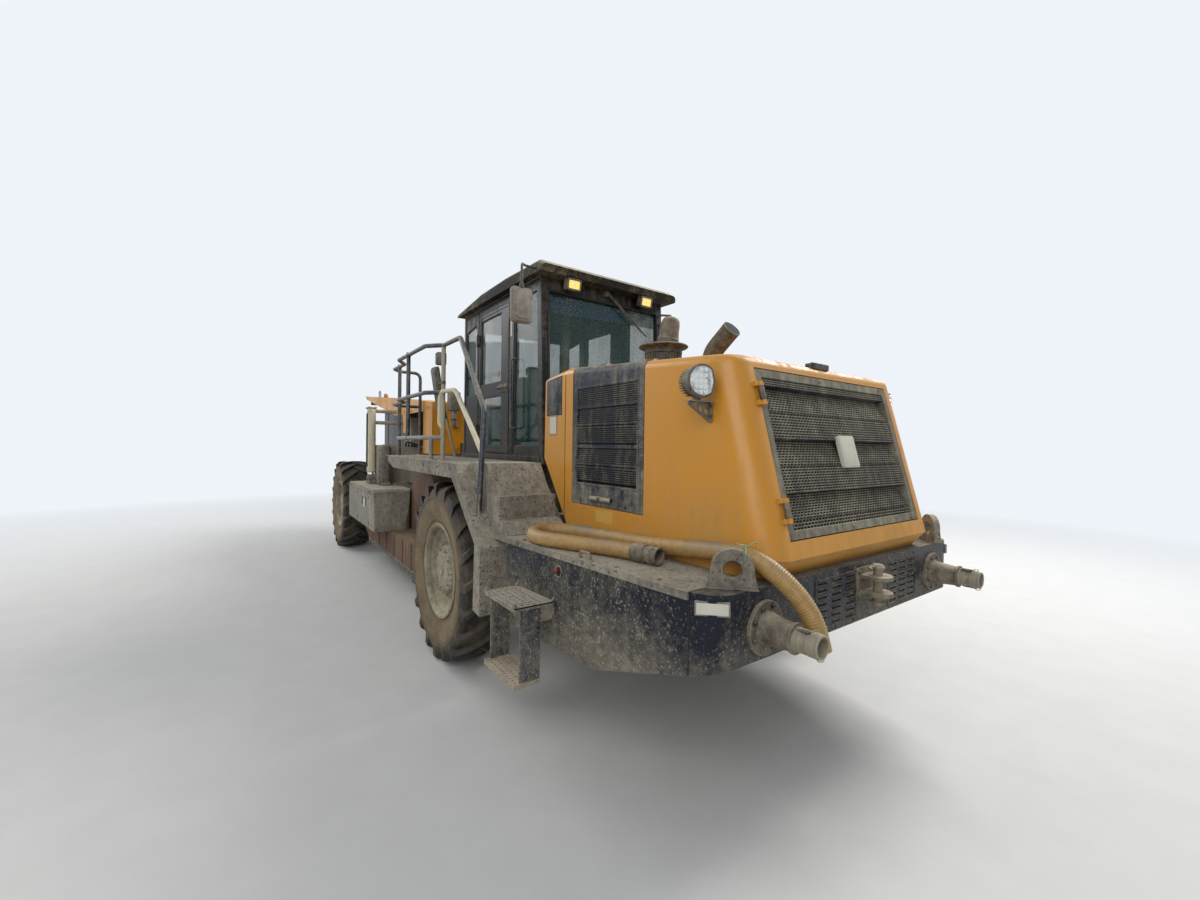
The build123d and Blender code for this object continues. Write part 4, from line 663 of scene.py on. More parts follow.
# Front grille: frame, stepped mesh panels, blank badge plate
GRILLE_CENTRE = Vector((4.4815, 0.0, 1.8765))
GRILLE_LEAN = atan2(0.227, 0.857)
GRILLE_HALF = 0.707
GRILLE_TALL = hypot(0.227, 0.857) / 2
grille_axes = Matrix(((0, 1, 0), (-sin(GRILLE_LEAN), 0, cos(GRILLE_LEAN)),
    (cos(GRILLE_LEAN), 0, sin(GRILLE_LEAN)))).transposed()
GRILLE = Matrix.Translation(GRILLE_CENTRE) @ grille_axes.to_4x4()


def mesh_panel(piece, place, left, right, rows, pitch=(0.03, 0.015), bar=0.0055):
    """Expanded metal: thin bars with staggered bridges.

    Rows are breaks (height, depth) from top to bottom.
    """
    cell, rise = pitch
    thick = 0.003
    index = 0
    for (top, top_depth), (bottom, bottom_depth) in zip(rows, rows[1:]):
        length = hypot(top - bottom, top_depth - bottom_depth)
        if top - bottom < 0.012:
            continue
        lines = max(1, round(length / rise))
        for k in range(lines + 1):
            share = k / lines
            v = top + (bottom - top) * share
            d = top_depth + (bottom_depth - top_depth) * share
            piece.block((left, v - bar / 2, d - thick), (right, v + bar / 2, d), 0, 1, place)
            if k == lines:
                continue
            next_share = (k + 0.5) / lines
            v_mid = top + (bottom - top) * next_share
            d_mid = top_depth + (bottom_depth - top_depth) * next_share
            half_rise = (top - bottom) / lines / 2
            half_depth = (top_depth - bottom_depth) / lines / 2
            start = left + (cell / 2 if index % 2 else 0)
            index += 1
            spans = int((right - start) / cell) + 1
            for c in range(spans):
                y = start + c * cell
                if y + bar / 2 > right:
                    break
                low_y, high_y = y - bar / 2, y + bar / 2
                corners = [(low_y, v_mid + half_rise, d_mid + half_depth - 0.001),
                    (high_y, v_mid + half_rise, d_mid + half_depth - 0.001), (high_y, v_mid - half_rise,
                    d_mid - half_depth - 0.001), (low_y, v_mid - half_rise, d_mid - half_depth - 0.001)]
                piece.add([place @ Vector(p) for p in corners], [(0, 1, 2, 3)])


grille = Piece("front_grille_mesh", "front_grille", "mesh_paint", MESH, ("front_grille",), sharp=25)
EDGE = 0.045
STEP = 0.045


def frame_ring(piece, outer, inner, low, high, place):
    count = len(outer)
    points = [place @ Vector((*p, d)) for d in (low, high) for loop in (outer, inner) for p in loop]
    faces = []
    for i in range(count):
        j = (i + 1) % count
        ob, ib, ot, it = 0, count, 2 * count, 3 * count
        faces += [(ot + i, ot + j, it + j, it + i), (ob + i, ib + i, ib + j, ob + j),
            (ob + i, ob + j, ot + j, ot + i), (ib + i, it + i, it + j, ib + j)]
    piece.soften(piece.solid(points, faces), 0.002, 1)


def border(piece, low, high, radius, rounding, inset, inner_radius, bottom, top, place):
    """Frame between an outline with round corners and the same outline moved inwards."""
    inner = round_box((low[0] + inset, low[1] + inset), (high[0] - inset, high[1] - inset), inner_radius,
        rounding)
    frame_ring(piece, round_box(low, high, radius, rounding), inner, bottom, top, place)


border(grille, (-GRILLE_HALF, -GRILLE_TALL), (GRILLE_HALF, GRILLE_TALL), 0.012, 2, EDGE, 0.01, -0.045, 0.0,
    GRILLE)
GRILLE_ROWS = [(0.4, -0.006), (0.362, -0.006), (0.36, -STEP), (0.212, -0.006), (0.075, -0.006),
    (0.073, -STEP), (-0.075, -0.006), (-0.208, -0.006), (-0.21, -STEP), (-0.35, -0.01), (-0.4, -0.01)]
mesh_panel(grille, GRILLE, -GRILLE_HALF + EDGE - 0.004, GRILLE_HALF - EDGE + 0.004, GRILLE_ROWS)
grille.use(DOOR_NAVY)
for v in (0.3605, 0.0735, -0.2095):
    grille.block((-GRILLE_HALF + EDGE, v - 0.004, -STEP), (GRILLE_HALF - EDGE, v + 0.003, -0.003), 0.001, 1,
        GRILLE)
# Black plate behind the mesh: painted shade of the grille's opening
grille.use(PAINTED_SHADE).block((-GRILLE_HALF + EDGE, -GRILLE_TALL + EDGE, -0.05),
    (GRILLE_HALF - EDGE, GRILLE_TALL - EDGE, -0.0485), 0, 1, GRILLE)
grille.use(PLATE)
grille.panel((-0.062, -0.095), (0.108, 0.095), 0.014, 5, -0.012, 0.014, 0.005, 2, GRILLE)
grille.use(STEEL)
for y in (-0.1, 0.62):
    for v in (GRILLE_TALL - 0.02, -GRILLE_TALL + 0.02):
        grille.bolt(GRILLE @ Vector((y, v, 0.0)), grille_axes @ Vector((0, 0, 1)), 0.008, 0.007)
for shift in (-0.3, 0.3):
    grille.turned([(shift - 0.035, 0.014), (shift + 0.035, 0.014)], (0, 0, 0), "y", 20,
        GRILLE @ shifted(-GRILLE_HALF - 0.0025, 0, 0.02))
    grille.block((-GRILLE_HALF, shift - 0.035, -0.002), (-GRILLE_HALF + 0.04, shift + 0.035, 0.006), 0.002,
        1, GRILLE)
grille.done()

BAND = glass_film("screen_band", "2A4E7C", 0.55, 0.2)
LOW_RAIL = weathered("rail_low_silver", "6E7072", "8D8878", 0.35, 0.4, 0.2, 0.2, rough=0.55)
CREAM = weathered("rail_cream", "C9BFA2", "A3977C", 0.3, 0.2, 0.3, 0.25, rough=0.55, lumps=0.2)
MIRROR_GLASS = plain("mirror_glass", "C8CCD0", 0.05, 1.0, shade=0.05)
DARK_STEEL = weathered("dark_steel", "1E1C1A", "6B6252", 0.25, 0.4, 0.2, 0.3, rough=0.55, wear=0.4)
ALUMINIUM = weathered("aluminium_dirty", "8B8578", "776C58", 0.45, 0.3, 0.1, 0.4, rough=0.45, metallic=0.6,
    wear=0.5, bare="B5B0A4")
STRAP = weathered("strap_navy", "1B2230", "6E6A5E", 0.25, 0.4, 0.2, 0.5, rough=0.5, wear=0.4)
TREAD_PINK = weathered("tread_pink", "7A6A5C", "9A8A78", 0.5, 0.4, 0.1, 0.3, dark_spots=0.6, rough=0.8)
RED_PLUG = plain("red_plug", "7A2A20", 0.5)
BEACON = plain("beacon_amber", "B8641C", 0.25)
TANK_GREY = weathered("tank_grey", "3A3A38", "7A7466", 0.3, 0.5, 0.3, 0.3, rough=0.6)
GREEN_TIE = plain("green_tie", "7FA37A", 0.5)
CLEANER = weathered("cleaner_brown", "4A3E33", "8A7E6A", 0.35, 0.5, 0.15, 0.2, rough=0.7)
SEAM = plain("seam_dark", "15120E", 0.85)


def pierced(piece, outline, holes, low, high, place, bevel=0.0):
    """Flat plate with holes, in the plane of its place, between two depths."""
    loops = [outline] + holes
    made = []
    rings = []
    for depth in (low, high):
        verts, edges = [], []
        for loop in loops:
            points = [Vector((a, b, depth)) for a, b in loop]
            if place is not None:
                points = [place @ p for p in points]
            row = [piece.bm.verts.new(p - piece.origin) for p in points]
            edges += [piece.bm.edges.new((row[i], row[(i + 1) % len(row)])) for i in range(len(row))]
            verts.append(row)
        filled = bmesh.ops.triangle_fill(piece.bm, use_beauty=True, use_dissolve=False, edges=edges)
        made += [g for g in filled["geom"] if isinstance(g, bmesh.types.BMFace)]
        rings.append(verts)
    for first, second in zip(*rings):
        for i in range(len(first)):
            j = (i + 1) % len(first)
            made.append(piece.bm.faces.new((first[i], first[j], second[j], second[i])))
    for face in made:
        face.material_index = piece.index
        face.smooth = True
    bmesh.ops.recalc_face_normals(piece.bm, faces=made)
    if bevel:
        piece.soften(made, bevel, 2, 50)
    return piece


def side_face(side, y):
    """Place whose first axis runs along the machine's side, the second up and the third outwards."""
    return Matrix(((-side, 0, 0, 0), (0, 0, side, side * y), (0, 1, 0, 0), (0, 0, 0, 1)))


def side_span(side, first, second):
    return tuple(sorted((-side * first, -side * second)))


def bumper_edge(x):
    """Half width of the ballast box, which narrows towards the front."""
    return 1.383 - (x - 2.876) * 0.0788


def side_strip(piece, material, side, y, span, heights, depths, bevel, steps):
    """Bar along the machine's side: its run in x, its heights and its depths outwards."""
    low, high = side_span(side, *span)
    piece.use(material)
    piece.block((low, heights[0], depths[0]), (high, heights[1], depths[1]), bevel, steps,
        side_face(side, y))


def wall_bolts(piece, material, side, y, xs, zs, radius, height, out=0.0):
    """Bolts on a side wall, one for each pair of x and z."""
    for x in xs:
        for z in zs:
            piece.use(material).bolt(side_face(side, y) @ Vector((-side * x, z, out)), (0, side, 0), radius,
                height)


def bolts(piece, xs, ys, zs, direction, radius, height):
    """Bolts at every pairing of the given x, y and z."""
    for x in xs:
        for y in ys:
            for z in zs:
                piece.bolt((x, y, z), direction, radius, height)


def box(piece, xs, ys, zs, bevel, steps):
    """Block between pairs of x, y and z, each pair in any order."""
    low, high = zip(*(sorted(pair) for pair in (xs, ys, zs)))
    piece.block(low, high, bevel, steps)


def seal_round(piece, corners, radius):
    """Rubber bar round a window."""
    for start, end in zip(corners, corners[1:] + corners[:1]):
        piece.use(RUBBER).tube([start, end], radius, 8)


def wall_path(side, y, points):
    """Points (x, z, depth) of a side wall, in the machine's frame."""
    return [side_face(side, y) @ Vector((-side * x, z, d)) for x, z, d in points]


def front_face(x):
    """Place that looks forward: the first axis to the left, the second up, the third forward."""
    return Matrix(((0, 0, 1, x), (1, 0, 0, 0), (0, 1, 0, 0), (0, 0, 0, 1)))


# Hood side doors: sloping rows of mesh in the door's field, latch and lock
HOOD_Y = 0.881
DOOR_MESH_ROWS = [(2.298, 0.0), (2.16, 0.003), (2.158, -0.01), (2.031, 0.003), (1.905, -0.002),
    (1.88, 0.001), (1.878, -0.01), (1.755, 0.003), (1.64, -0.004), (1.627, -0.004)]
for side_name, side in SIDES:
    place = side_face(side, HOOD_Y)
    low, high = side_span(side, 2.982, 3.648)
    door = Piece(f"hood_door_mesh_{side_name}", f"hood_door_{side_name}", "mesh_paint", DARK_MESH, sharp=25)
    mesh_panel(door, place, low, high, DOOR_MESH_ROWS, (0.03, 0.0145), 0.0048)
    door.use(DOOR_NAVY)
    frame_ring(door, round_box((low - 0.012, 1.613), (high + 0.012, 2.312), 0.006, 2),
        round_box((low, 1.627), (high, 2.298), 0.004, 2), -0.004, 0.003, place)
    for z in (2.159, 1.879):
        door.block((low, z - 0.001, -0.0105), (high, z + 0.002, 0.004), 0.0008, 1, place)
    # Black sheet behind the mesh: painted shade of the door's opening
    door.use(PAINTED_SHADE).block((low, 1.627, -0.0118), (high, 2.298, -0.0112), 0, 1, place)
    low, high = side_span(side, 3.164, 3.399)
    middle = (low + high) / 2
    door.use(ALUMINIUM)
    door.turned([(low, 0), (low, 0.012), (low + 0.006, 0.0165), (middle - 0.03, 0.0165),
        (middle - 0.03, 0.019), (middle + 0.03, 0.019), (middle + 0.03, 0.0165), (high - 0.006, 0.0165),
        (high, 0.012), (high, 0)], (0, 1.53, 0.009), "x", 20, place)
    door.use(DARK_STEEL).turned([(0.01, 0.0), (0.032, 0.0), (0.032, 0.014), (0.029, 0.017), (0.01, 0.018)],
        (middle, 1.53, 0), "z", 24, place)
    door.block((middle - 0.002, 1.522, 0.03), (middle + 0.002, 1.538, 0.0335), 0.0005, 1, place)
    for u in (low - 0.14, high + 0.14):
        for z in (1.5, 1.58):
            door.bolt(place @ Vector((u, z, 0.0)), (0, side, 0), 0.007, 0.005)
    door.done()

    # Hood skin: recessed window, bare tag, seams and bare warning plate
    skin = Piece(f"hood_trim_{side_name}", "chassis", "hood_paint", SEAM, sharp=30)
    low, high = side_span(side, 2.534, 2.752)
    slant = 0.012 * side
    window = [(low, 2.13), (high, 2.13), (high, 2.408 - slant), (low, 2.408 + slant)]
    skin.use(SEAM).prism([(a + (0.006 if a == high else -0.006), b + (0.006 if b > 2.3 else -0.006))
        for a, b in window], -0.002, 0.0015, "z", 0.0006, 1, place)
    skin.use(DOOR_NAVY).prism(window, 0.0, 0.0035, "z", 0.0015, 2, place)
    low, high = side_span(side, 2.57, 2.69)
    skin.use(MIRROR_BACK).panel((low, 1.97), (high, 2.126), 0.006, 2, -0.002, 0.003, 0.001, 1, place)
    skin.use(PLATE).panel((low + 0.01, 1.982), (high - 0.01, 2.114), 0.004, 2, 0.001, 0.0038, 0.0006, 1,
        place)
    side_strip(skin, SEAM, side, HOOD_Y, (2.806, 2.812), (1.3, 2.425), (-0.002, 0.001), 0, 1)
    low, high = side_span(side, 3.22, 3.413)
    skin.use(LABEL).panel((low, 1.373), (high, 1.457), 0.004, 2, -0.001, 0.0015, 0.0005, 1, place)
    skin.done()

cap = Piece("hood_top_box", "chassis", "black_plastic", PLASTIC)
cap.block((4.29, -0.12, 2.365), (4.35, 0.045, 2.402), 0.006, 3)
bolts(cap, (4.32,), (-0.095, 0.02), (2.402,), (0, 0, 1), 0.007, 0.006)
cap.done()

# Handrails: round bars with bent corners, in the colours of the photograph
RAIL_RADIUS = 0.021
RAIL_TOP, RAIL_MID, RAIL_LOW, FLOOR_Z = 2.84, 2.387, 1.95, 1.735
FRONT_POST, REAR_POST, END_POST = (1.25, 1.3), (-0.42, 1.3), (-0.86, 0.93)
SIDE_POST, SHORT_POST = (0.49, 1.43), (1.15, 1.383)
RAIL_PLAN = [FRONT_POST, (1.2, 1.345), (1.089, 1.43), (0.076, 1.43), (-0.19, 1.3), (-0.7, 1.3),
    (-0.86, 1.18), END_POST]


def rail_level(plan, z, side):
    return [(x, side * y, z) for x, y in plan]


def rail_post(rails, side, at, low, high):
    rails.tube([(at[0], side * at[1], low), (at[0], side * at[1], high)], RAIL_RADIUS, 18)


for side_name, side in SIDES:
    rails = Piece(f"rails_{side_name}", "chassis", "rail_paint", RAIL, ("handrails",) if side < 0 else (),
        sharp=40)
    stairs = [(2.45, side * 1.41, 1.3884), (2.42, side * 1.365, 2.16), (1.694, side * 1.295, RAIL_TOP)]
    top = stairs + rail_level(RAIL_PLAN, RAIL_TOP, side) + [(END_POST[0], side * END_POST[1], FLOOR_Z)]
    rails.bent(top, 0.09, RAIL_RADIUS, 18)
    rails.bent(rail_level(RAIL_PLAN, RAIL_MID, side), 0.07, RAIL_RADIUS, 18)
    rail_post(rails, side, SIDE_POST, RAIL_LOW, RAIL_TOP)
    rail_post(rails, side, REAR_POST, FLOOR_Z, RAIL_TOP)
    rails.use(LOW_RAIL)
    rails.bent(rail_level(RAIL_PLAN[:5] + [REAR_POST], RAIL_LOW, side), 0.06, RAIL_RADIUS, 18)
    rail_post(rails, side, SHORT_POST, FLOOR_Z, RAIL_LOW)
    rails.use(PALE_RAIL)
    rail_post(rails, side, FRONT_POST, FLOOR_Z, RAIL_TOP)
    for x, y in (FRONT_POST, REAR_POST, END_POST, SHORT_POST):
        rails.turned([(0.0, 0.021), (0.01, 0.024), (0.01, 0.042), (0.0, 0.045)], (x, side * y, FLOOR_Z),
            "z", 24)
        for a, b in ring(4, 0.034, 0.785):
            rails.bolt((x + a, side * y + b, FLOOR_Z + 0.01), (0, 0, 1), 0.0045, 0.005)
    for x, y in (SIDE_POST, REAR_POST):
        for z in (RAIL_MID, RAIL_TOP, RAIL_LOW):
            rails.use(RAIL).turned([(-0.024, 0.0212), (-0.018, 0.0235), (0.018, 0.0235), (0.024, 0.0212)],
                (x, side * y, z), "z", 18)
    rails.use(CREAM)
    loop = [(1.25, side * 1.3, 2.05), (1.205, side * 1.318, 2.08), (1.205, side * 1.318, 2.345),
        (1.26, side * 1.312, 2.395), (1.54, side * 1.292, 2.385), (1.62, side * 1.296, 2.35),
        (2.432, side * 1.384, 1.83)]
    rails.bent(loop, 0.08, RAIL_RADIUS, 18)
    rails.done()

# Mirrors: dusty shells with glass behind, on bent arms
mirrors = Piece("mirrors_shells", "chassis", "black_plastic", MIRROR_BACK, ("mirrors",), sharp=40)


def mirror_shell(piece, centre, width, height, place, back=MIRROR_BACK):
    half_w, half_h = width / 2, height / 2
    at = Matrix.Translation(centre) @ place
    for grow, low, high in ((0.0, -0.022, 0.01), (0.012, 0.008, 0.02), (0.032, 0.018, 0.025)):
        outline = round_box((-half_w + grow, -half_h + grow), (half_w - grow, half_h - grow), 0.034, 6)
        piece.use(back).prism(outline, low, high, "z", 0.004, 2, at)
    outline = round_box((-half_w + 0.008, -half_h + 0.008), (half_w - 0.008, half_h - 0.008), 0.028, 6)
    piece.use(MIRROR_GLASS).prism(outline, -0.0235, -0.02, "z", 0.0005, 1, at)


ROOF_FRONT_X, ROOF_HALF, CAB_TOP_Z = 2.24, 0.8, 3.4
right_at = (ROOF_FRONT_X + 0.025, -ROOF_HALF - 0.187)
mirror_shell(mirrors, (*right_at, 3.0525), 0.192, 0.295, front_face(0))
mirrors.use(PLASTIC)
mirrors.bent([(right_at[0] - 0.115, -ROOF_HALF, CAB_TOP_Z + 0.035),
    (right_at[0] - 0.115, right_at[1] + 0.09, CAB_TOP_Z + 0.035), (*right_at, CAB_TOP_Z),
    (*right_at, 3.18)], 0.045, 0.011, 14)
mirrors.turned([(-0.02, 0.012), (-0.02, 0.019), (0.02, 0.019), (0.02, 0.012)], (*right_at, 3.215), "z", 18)
LEFT_X, LEFT_Y = 2.205, 0.768
mirror_shell(mirrors, (LEFT_X, LEFT_Y, 3.0765), 0.244, 0.243, front_face(0))
for z in (3.18, 3.27):
    mirrors.use(PLASTIC).tube([(2.117, 0.69, z), (2.16, 0.69, z), (LEFT_X, LEFT_Y, z)], 0.011, 14)
mirrors.tube([(LEFT_X, LEFT_Y, 3.172), (LEFT_X, LEFT_Y, 3.278)], 0.011, 14)
LEAN, MIRROR_X, MIRROR_Y = radians(9), 1.08, 1.295
for side in (-1, 1):
    tilt = spun(-side * LEAN, "X")
    shell_place = tilt @ Matrix(((1, 0, 0, 0), (0, 0, side, 0), (0, -side, 0, 0), (0, 0, 0, 1)))
    mirror_shell(mirrors, (MIRROR_X, side * MIRROR_Y, 2.39), 0.17, 0.52, shell_place, PLASTIC)
    arm_y = side * (MIRROR_Y + 0.09 * tan(LEAN))
    mirrors.use(PLASTIC).tube([(MIRROR_X, arm_y, 2.48), (1.2285, arm_y, 2.48)], 0.011, 14)
    mirrors.turned([(-0.016, 0.0212), (-0.016, 0.0228), (0.016, 0.0228), (0.016, 0.0212)],
        (FRONT_POST[0], side * FRONT_POST[1], 2.48), "z", 20)
mirrors.done()

# Lamps: cut-off round head lamps on pierced brackets, and two lit work lamps under the visor
lamps = Piece("lamps_detailed", "chassis", "lamp_plastic", PLASTIC, ("lamps",), sharp=35)
LAMP_Y, LAMP_Z = HOOD_Y + 0.105, 2.222


def cut_circle(radius, cut, middle):
    """Circle with one straight side, as outline points."""
    points = []
    for y, z in ring(40, radius):
        limit = cut - 0.25 * abs(z)
        points.append((middle[0] + min(y, limit), middle[1] + z))
    return points


for side in (-1, 1):
    to_hood = Matrix(((0, 0, 1, 0), (-side, 0, 0, 0), (0, 1, 0, 0), (0, 0, 0, 1)))
    pivot = Vector((4.24, side * LAMP_Y, LAMP_Z))
    aim = Matrix.Translation(pivot) @ spun(side * radians(16), "Z") @ Matrix.Translation(-pivot)
    aimed = aim @ to_hood
    centre = (-LAMP_Y, LAMP_Z)

    def lamp_layer(material, radius, cut, low, high, bevel):
        lamps.use(material).prism(cut_circle(radius, cut, centre), low, high, "z", bevel, 2, aimed)

    lamp_layer(PLASTIC, 0.078, 0.066, 4.205, 4.27, 0.01)
    lamp_layer(DARK_STEEL, 0.086, 0.074, 4.256, 4.288, 0.006)
    lamp_layer(CHROME, 0.072, 0.06, 4.28, 4.2885, 0.001)
    lamp_layer(LENS, 0.073, 0.061, 4.2885, 4.296, 0.003)
    for row in range(5):
        for column in range(5):
            y, z = -LAMP_Y + (column - 2.3) * 0.026, LAMP_Z + (row - 2) * 0.028
            if hypot(y + LAMP_Y, z - LAMP_Z) < 0.062 and y + LAMP_Y < 0.036:
                lamps.use(CHROME).turned([(4.288, 0.012), (4.2905, 0.01), (4.2925, 0.0)], (0, 0, 0), "x", 8,
                    aim @ shifted(0, -side * y, z))
    lamps.use(PLASTIC)
    for k in range(12):
        z = LAMP_Z - 0.066 + k * 0.012
        reach = sqrt(max(0.0001, 0.074 ** 2 - (z - LAMP_Z) ** 2))
        low_y, high_y = sorted((side * (LAMP_Y - min(reach, 0.05)), side * (LAMP_Y + reach)))
        lamps.block((4.172, low_y, z - 0.0025), (4.207, high_y, z + 0.0025), 0.001, 1, aim)
    bracket = [(-HOOD_Y, 2.125), (-1.041, 2.125), (-1.041, 2.105), (-HOOD_Y, 2.02)]
    holes = [[(-0.913 + a, 2.078 + b) for a, b in ring(16, 0.015)], [(-0.955 + a, 2.09 + b)
        for a, b in ring(16, 0.014)]]
    lamps.use(CLEANER)
    pierced(lamps, bracket, holes, 4.226, 4.234, to_hood)
    lamps.use(PALE_RAIL).prism([(-HOOD_Y, 2.124), (-1.043, 2.124), (-1.043, 2.13), (-HOOD_Y, 2.13)], 4.2,
        4.25, "z", 0.002, 1, to_hood)
    lamps.use(CLEANER).turned([(2.128, 0.022), (2.152, 0.016)], (4.235, side * LAMP_Y, 0), "z", 20)
    box(lamps, (4.222, 4.25), (side * HOOD_Y, side * (HOOD_Y + 0.01)), (2.02, 2.13), 0.003, 1)
    wall_bolts(lamps, DARK_STEEL, side, HOOD_Y + 0.01, (4.242,), (2.05, 2.105), 0.007, 0.005)

for y in (-0.445, 0.415):
    tilt = shifted(2.205, y, 3.345) @ spun(radians(10), "Y") @ front_face(0)
    lamps.use(PLASTIC).panel((-0.072, -0.05), (0.072, 0.05), 0.018, 4, -0.045, 0.022, 0.006, 2, tilt)
    lamps.use(DARK_STEEL)
    border(lamps, (-0.074, -0.052), (0.074, 0.052), 0.018, 4, 0.016, 0.01, 0.018, 0.031, tilt)
    lamps.use(LIT).panel((-0.058, -0.036), (0.058, 0.036), 0.01, 4, 0.018, 0.025, 0.002, 1, tilt)
    lamps.use(CHROME).panel((-0.012, -0.01), (0.012, 0.01), 0.004, 2, 0.024, 0.0265, 0.001, 1, tilt)
    lamps.use(DARK_STEEL)
    for u in (-0.079, 0.079):
        lamps.block((u - 0.003, -0.012, -0.018), (u + 0.003, 0.06, 0.004), 0.001, 1, tilt)
        lamps.turned([(u - 0.006, 0), (u - 0.006, 0.009), (u + 0.006, 0.009), (u + 0.006, 0)],
            (0, 0, -0.006), "x", 12, tilt)
    for k in range(6):
        lamps.block((-0.06, -0.04 + k * 0.015, -0.062), (0.06, -0.036 + k * 0.015, -0.044), 0.001, 1, tilt)
lamps.done()

# Exhaust elbow with a clamped foot and an open mouth
exhaust = Piece("exhaust_elbow", "chassis", "exhaust_steel", EXHAUST, ("exhaust_pipe",), sharp=35)
EXHAUST_X, EXHAUST_Y = 3.32, 0.15
EXHAUST_FOOT = 2.478 - (EXHAUST_X - 2.831) * 0.0697
route = rounded_path([(EXHAUST_X, EXHAUST_Y, EXHAUST_FOOT - 0.02),
    (EXHAUST_X, EXHAUST_Y, EXHAUST_FOOT + 0.19), (3.52, EXHAUST_Y, EXHAUST_FOOT + 0.35)], 0.16, 14)
exhaust.tube(route[:-1] + [route[-1] - (route[-1] - route[-2]).normalized() * 0.004], 0.073, 36)
mouth = (route[-1] - route[-2]).normalized()
mouth_place = Matrix.Translation(route[-1]) @ toward(mouth)
exhaust.turned([(-0.01, 0.073), (0.0, 0.0755), (0.004, 0.073), (0.004, 0.067), (-0.002, 0.066)], (0, 0, 0),
    "z", 36, mouth_place)
# Black disc just inside the mouth: painted shade of the pipe's inside
exhaust.use(PAINTED_SHADE).turned([(0.0015, 0.0675), (0.0015, 0.0)], (0, 0, 0), "z", 36, mouth_place)
exhaust.use(EXHAUST)
exhaust.turned([(-0.02, 0.073), (-0.02, 0.098), (0.012, 0.098), (0.016, 0.092), (0.016, 0.08), (0.06, 0.08),
    (0.064, 0.073)], (EXHAUST_X, EXHAUST_Y, EXHAUST_FOOT), "z", 40)
for a, b in ring(6, 0.089, 0.3):
    exhaust.bolt((EXHAUST_X + a, EXHAUST_Y + b, EXHAUST_FOOT + 0.014), (0, 0, 1), 0.006, 0.006)
exhaust.use(DARK_STEEL).turned([(0.09, 0.0735), (0.09, 0.078), (0.112, 0.078), (0.112, 0.0735)],
    (EXHAUST_X, EXHAUST_Y, EXHAUST_FOOT), "z", 36)
exhaust.block((3.312, 0.062, EXHAUST_FOOT + 0.092), (3.328, 0.08, EXHAUST_FOOT + 0.11), 0.003, 1)
exhaust.done()

# Air cleaner: slotted neck, flat rain cap and the leaning bowl above it
cleaner = Piece("air_cleaner_slotted", "chassis", "black_plastic", PLASTIC, ("air_cleaner",), sharp=35)
CLEANER_X = 2.93
cleaner.turned([(2.44, 0.0), (2.44, 0.15), (2.5, 0.15), (2.506, 0.156), (2.52, 0.156), (2.526, 0.146),
    (2.66, 0.146), (2.668, 0.156), (2.682, 0.156), (2.682, 0.0)], (CLEANER_X, 0, 0), "z", 64)
cleaner.use(DARK_STEEL)
for k in range(36):
    spin = shifted(CLEANER_X, 0, 0) @ spun(tau * k / 36, "Z")
    cleaner.block((0.14, -0.005, 2.524), (0.1535, 0.005, 2.664), 0.0015, 1, spin)
cleaner.turned([(2.68, 0.0), (2.68, 0.15), (2.7, 0.16), (2.716, 0.198), (2.722, 0.205), (2.728, 0.205),
    (2.736, 0.196), (2.75, 0.13), (2.757, 0.1), (2.757, 0.0)], (CLEANER_X, 0, 0), "z", 72)
cleaner.use(CLEANER)
stub = shifted(2.96, 0.01, 2.75) @ toward((0.1, 0.14, 1))
cleaner.turned([(0.0, 0.0), (0.0, 0.082), (0.02, 0.084), (0.028, 0.088), (0.04, 0.088), (0.046, 0.083),
    (0.15, 0.079), (0.19, 0.074), (0.212, 0.062), (0.224, 0.04), (0.228, 0.0)], (0, 0, 0), "z", 48, stub)
for a, b in ring(3, 0.125, 0.4):
    cleaner.use(DARK_STEEL).bolt((CLEANER_X + a, b, 2.75), (0, 0, 1), 0.009, 0.009)
cleaner.done()

# Hose ports: bolted flanges, stepped stubs and camlock ends with their arms
BUMPER_X, PORT_Y, PORT_Z = 4.6, 0.914, 1.079
ports = Piece("hose_ports_camlock", "chassis", "cast_steel", STEEL, ("hose_ports",), sharp=30)
for side in (-1, 1):
    at = (BUMPER_X, side * PORT_Y, PORT_Z)
    ports.use(STEEL).turned([(0.0, 0.0), (0.0, 0.125), (0.014, 0.125), (0.018, 0.121), (0.018, 0.08),
        (0.026, 0.074), (0.06, 0.07), (0.11, 0.064), (0.148, 0.061), (0.152, 0.066), (0.156, 0.068),
        (0.166, 0.068), (0.168, 0.0535)], at, "x", 56)
    ports.use(ALUMINIUM).turned([(0.166, 0.054), (0.172, 0.052), (0.196, 0.052), (0.2, 0.048),
        (0.212, 0.046), (0.224, 0.048), (0.228, 0.052), (0.262, 0.052), (0.266, 0.0505), (0.27, 0.052),
        (0.277, 0.0515), (0.28, 0.049), (0.28, 0.041), (0.16, 0.04), (0.16, 0.0)], at, "x", 56)
    for k in range(8):
        a, b = 0.102 * cos(k * pi / 4 + 0.39), 0.102 * sin(k * pi / 4 + 0.39)
        ports.use(DARK_STEEL).bolt((4.617, at[1] + a, at[2] + b), (1, 0, 0), 0.011, 0.011)
    for turn in (0.35, 3.49):
        spin = Matrix.Translation(at) @ spun(turn, "X")
        ports.use(STEEL).block((0.176, -0.01, 0.05), (0.236, 0.01, 0.062), 0.003, 2, spin)
        ports.block((0.184, -0.006, 0.06), (0.252, 0.006, 0.066), 0.002, 1, spin)
        ring_path = [spin @ Vector((0.258 + 0.013 * cos(t), 0.013 * sin(t), 0.066))
            for t in [k * pi / 8 for k in range(17)]]
        ports.use(ALUMINIUM).tube(ring_path, 0.0022, 8)
ports.use(DARK_STEEL).turned([(0.266, 0.0), (0.266, 0.041), (0.272, 0.041), (0.272, 0.0)],
    (BUMPER_X, PORT_Y, PORT_Z), "x", 40)
ports.done()

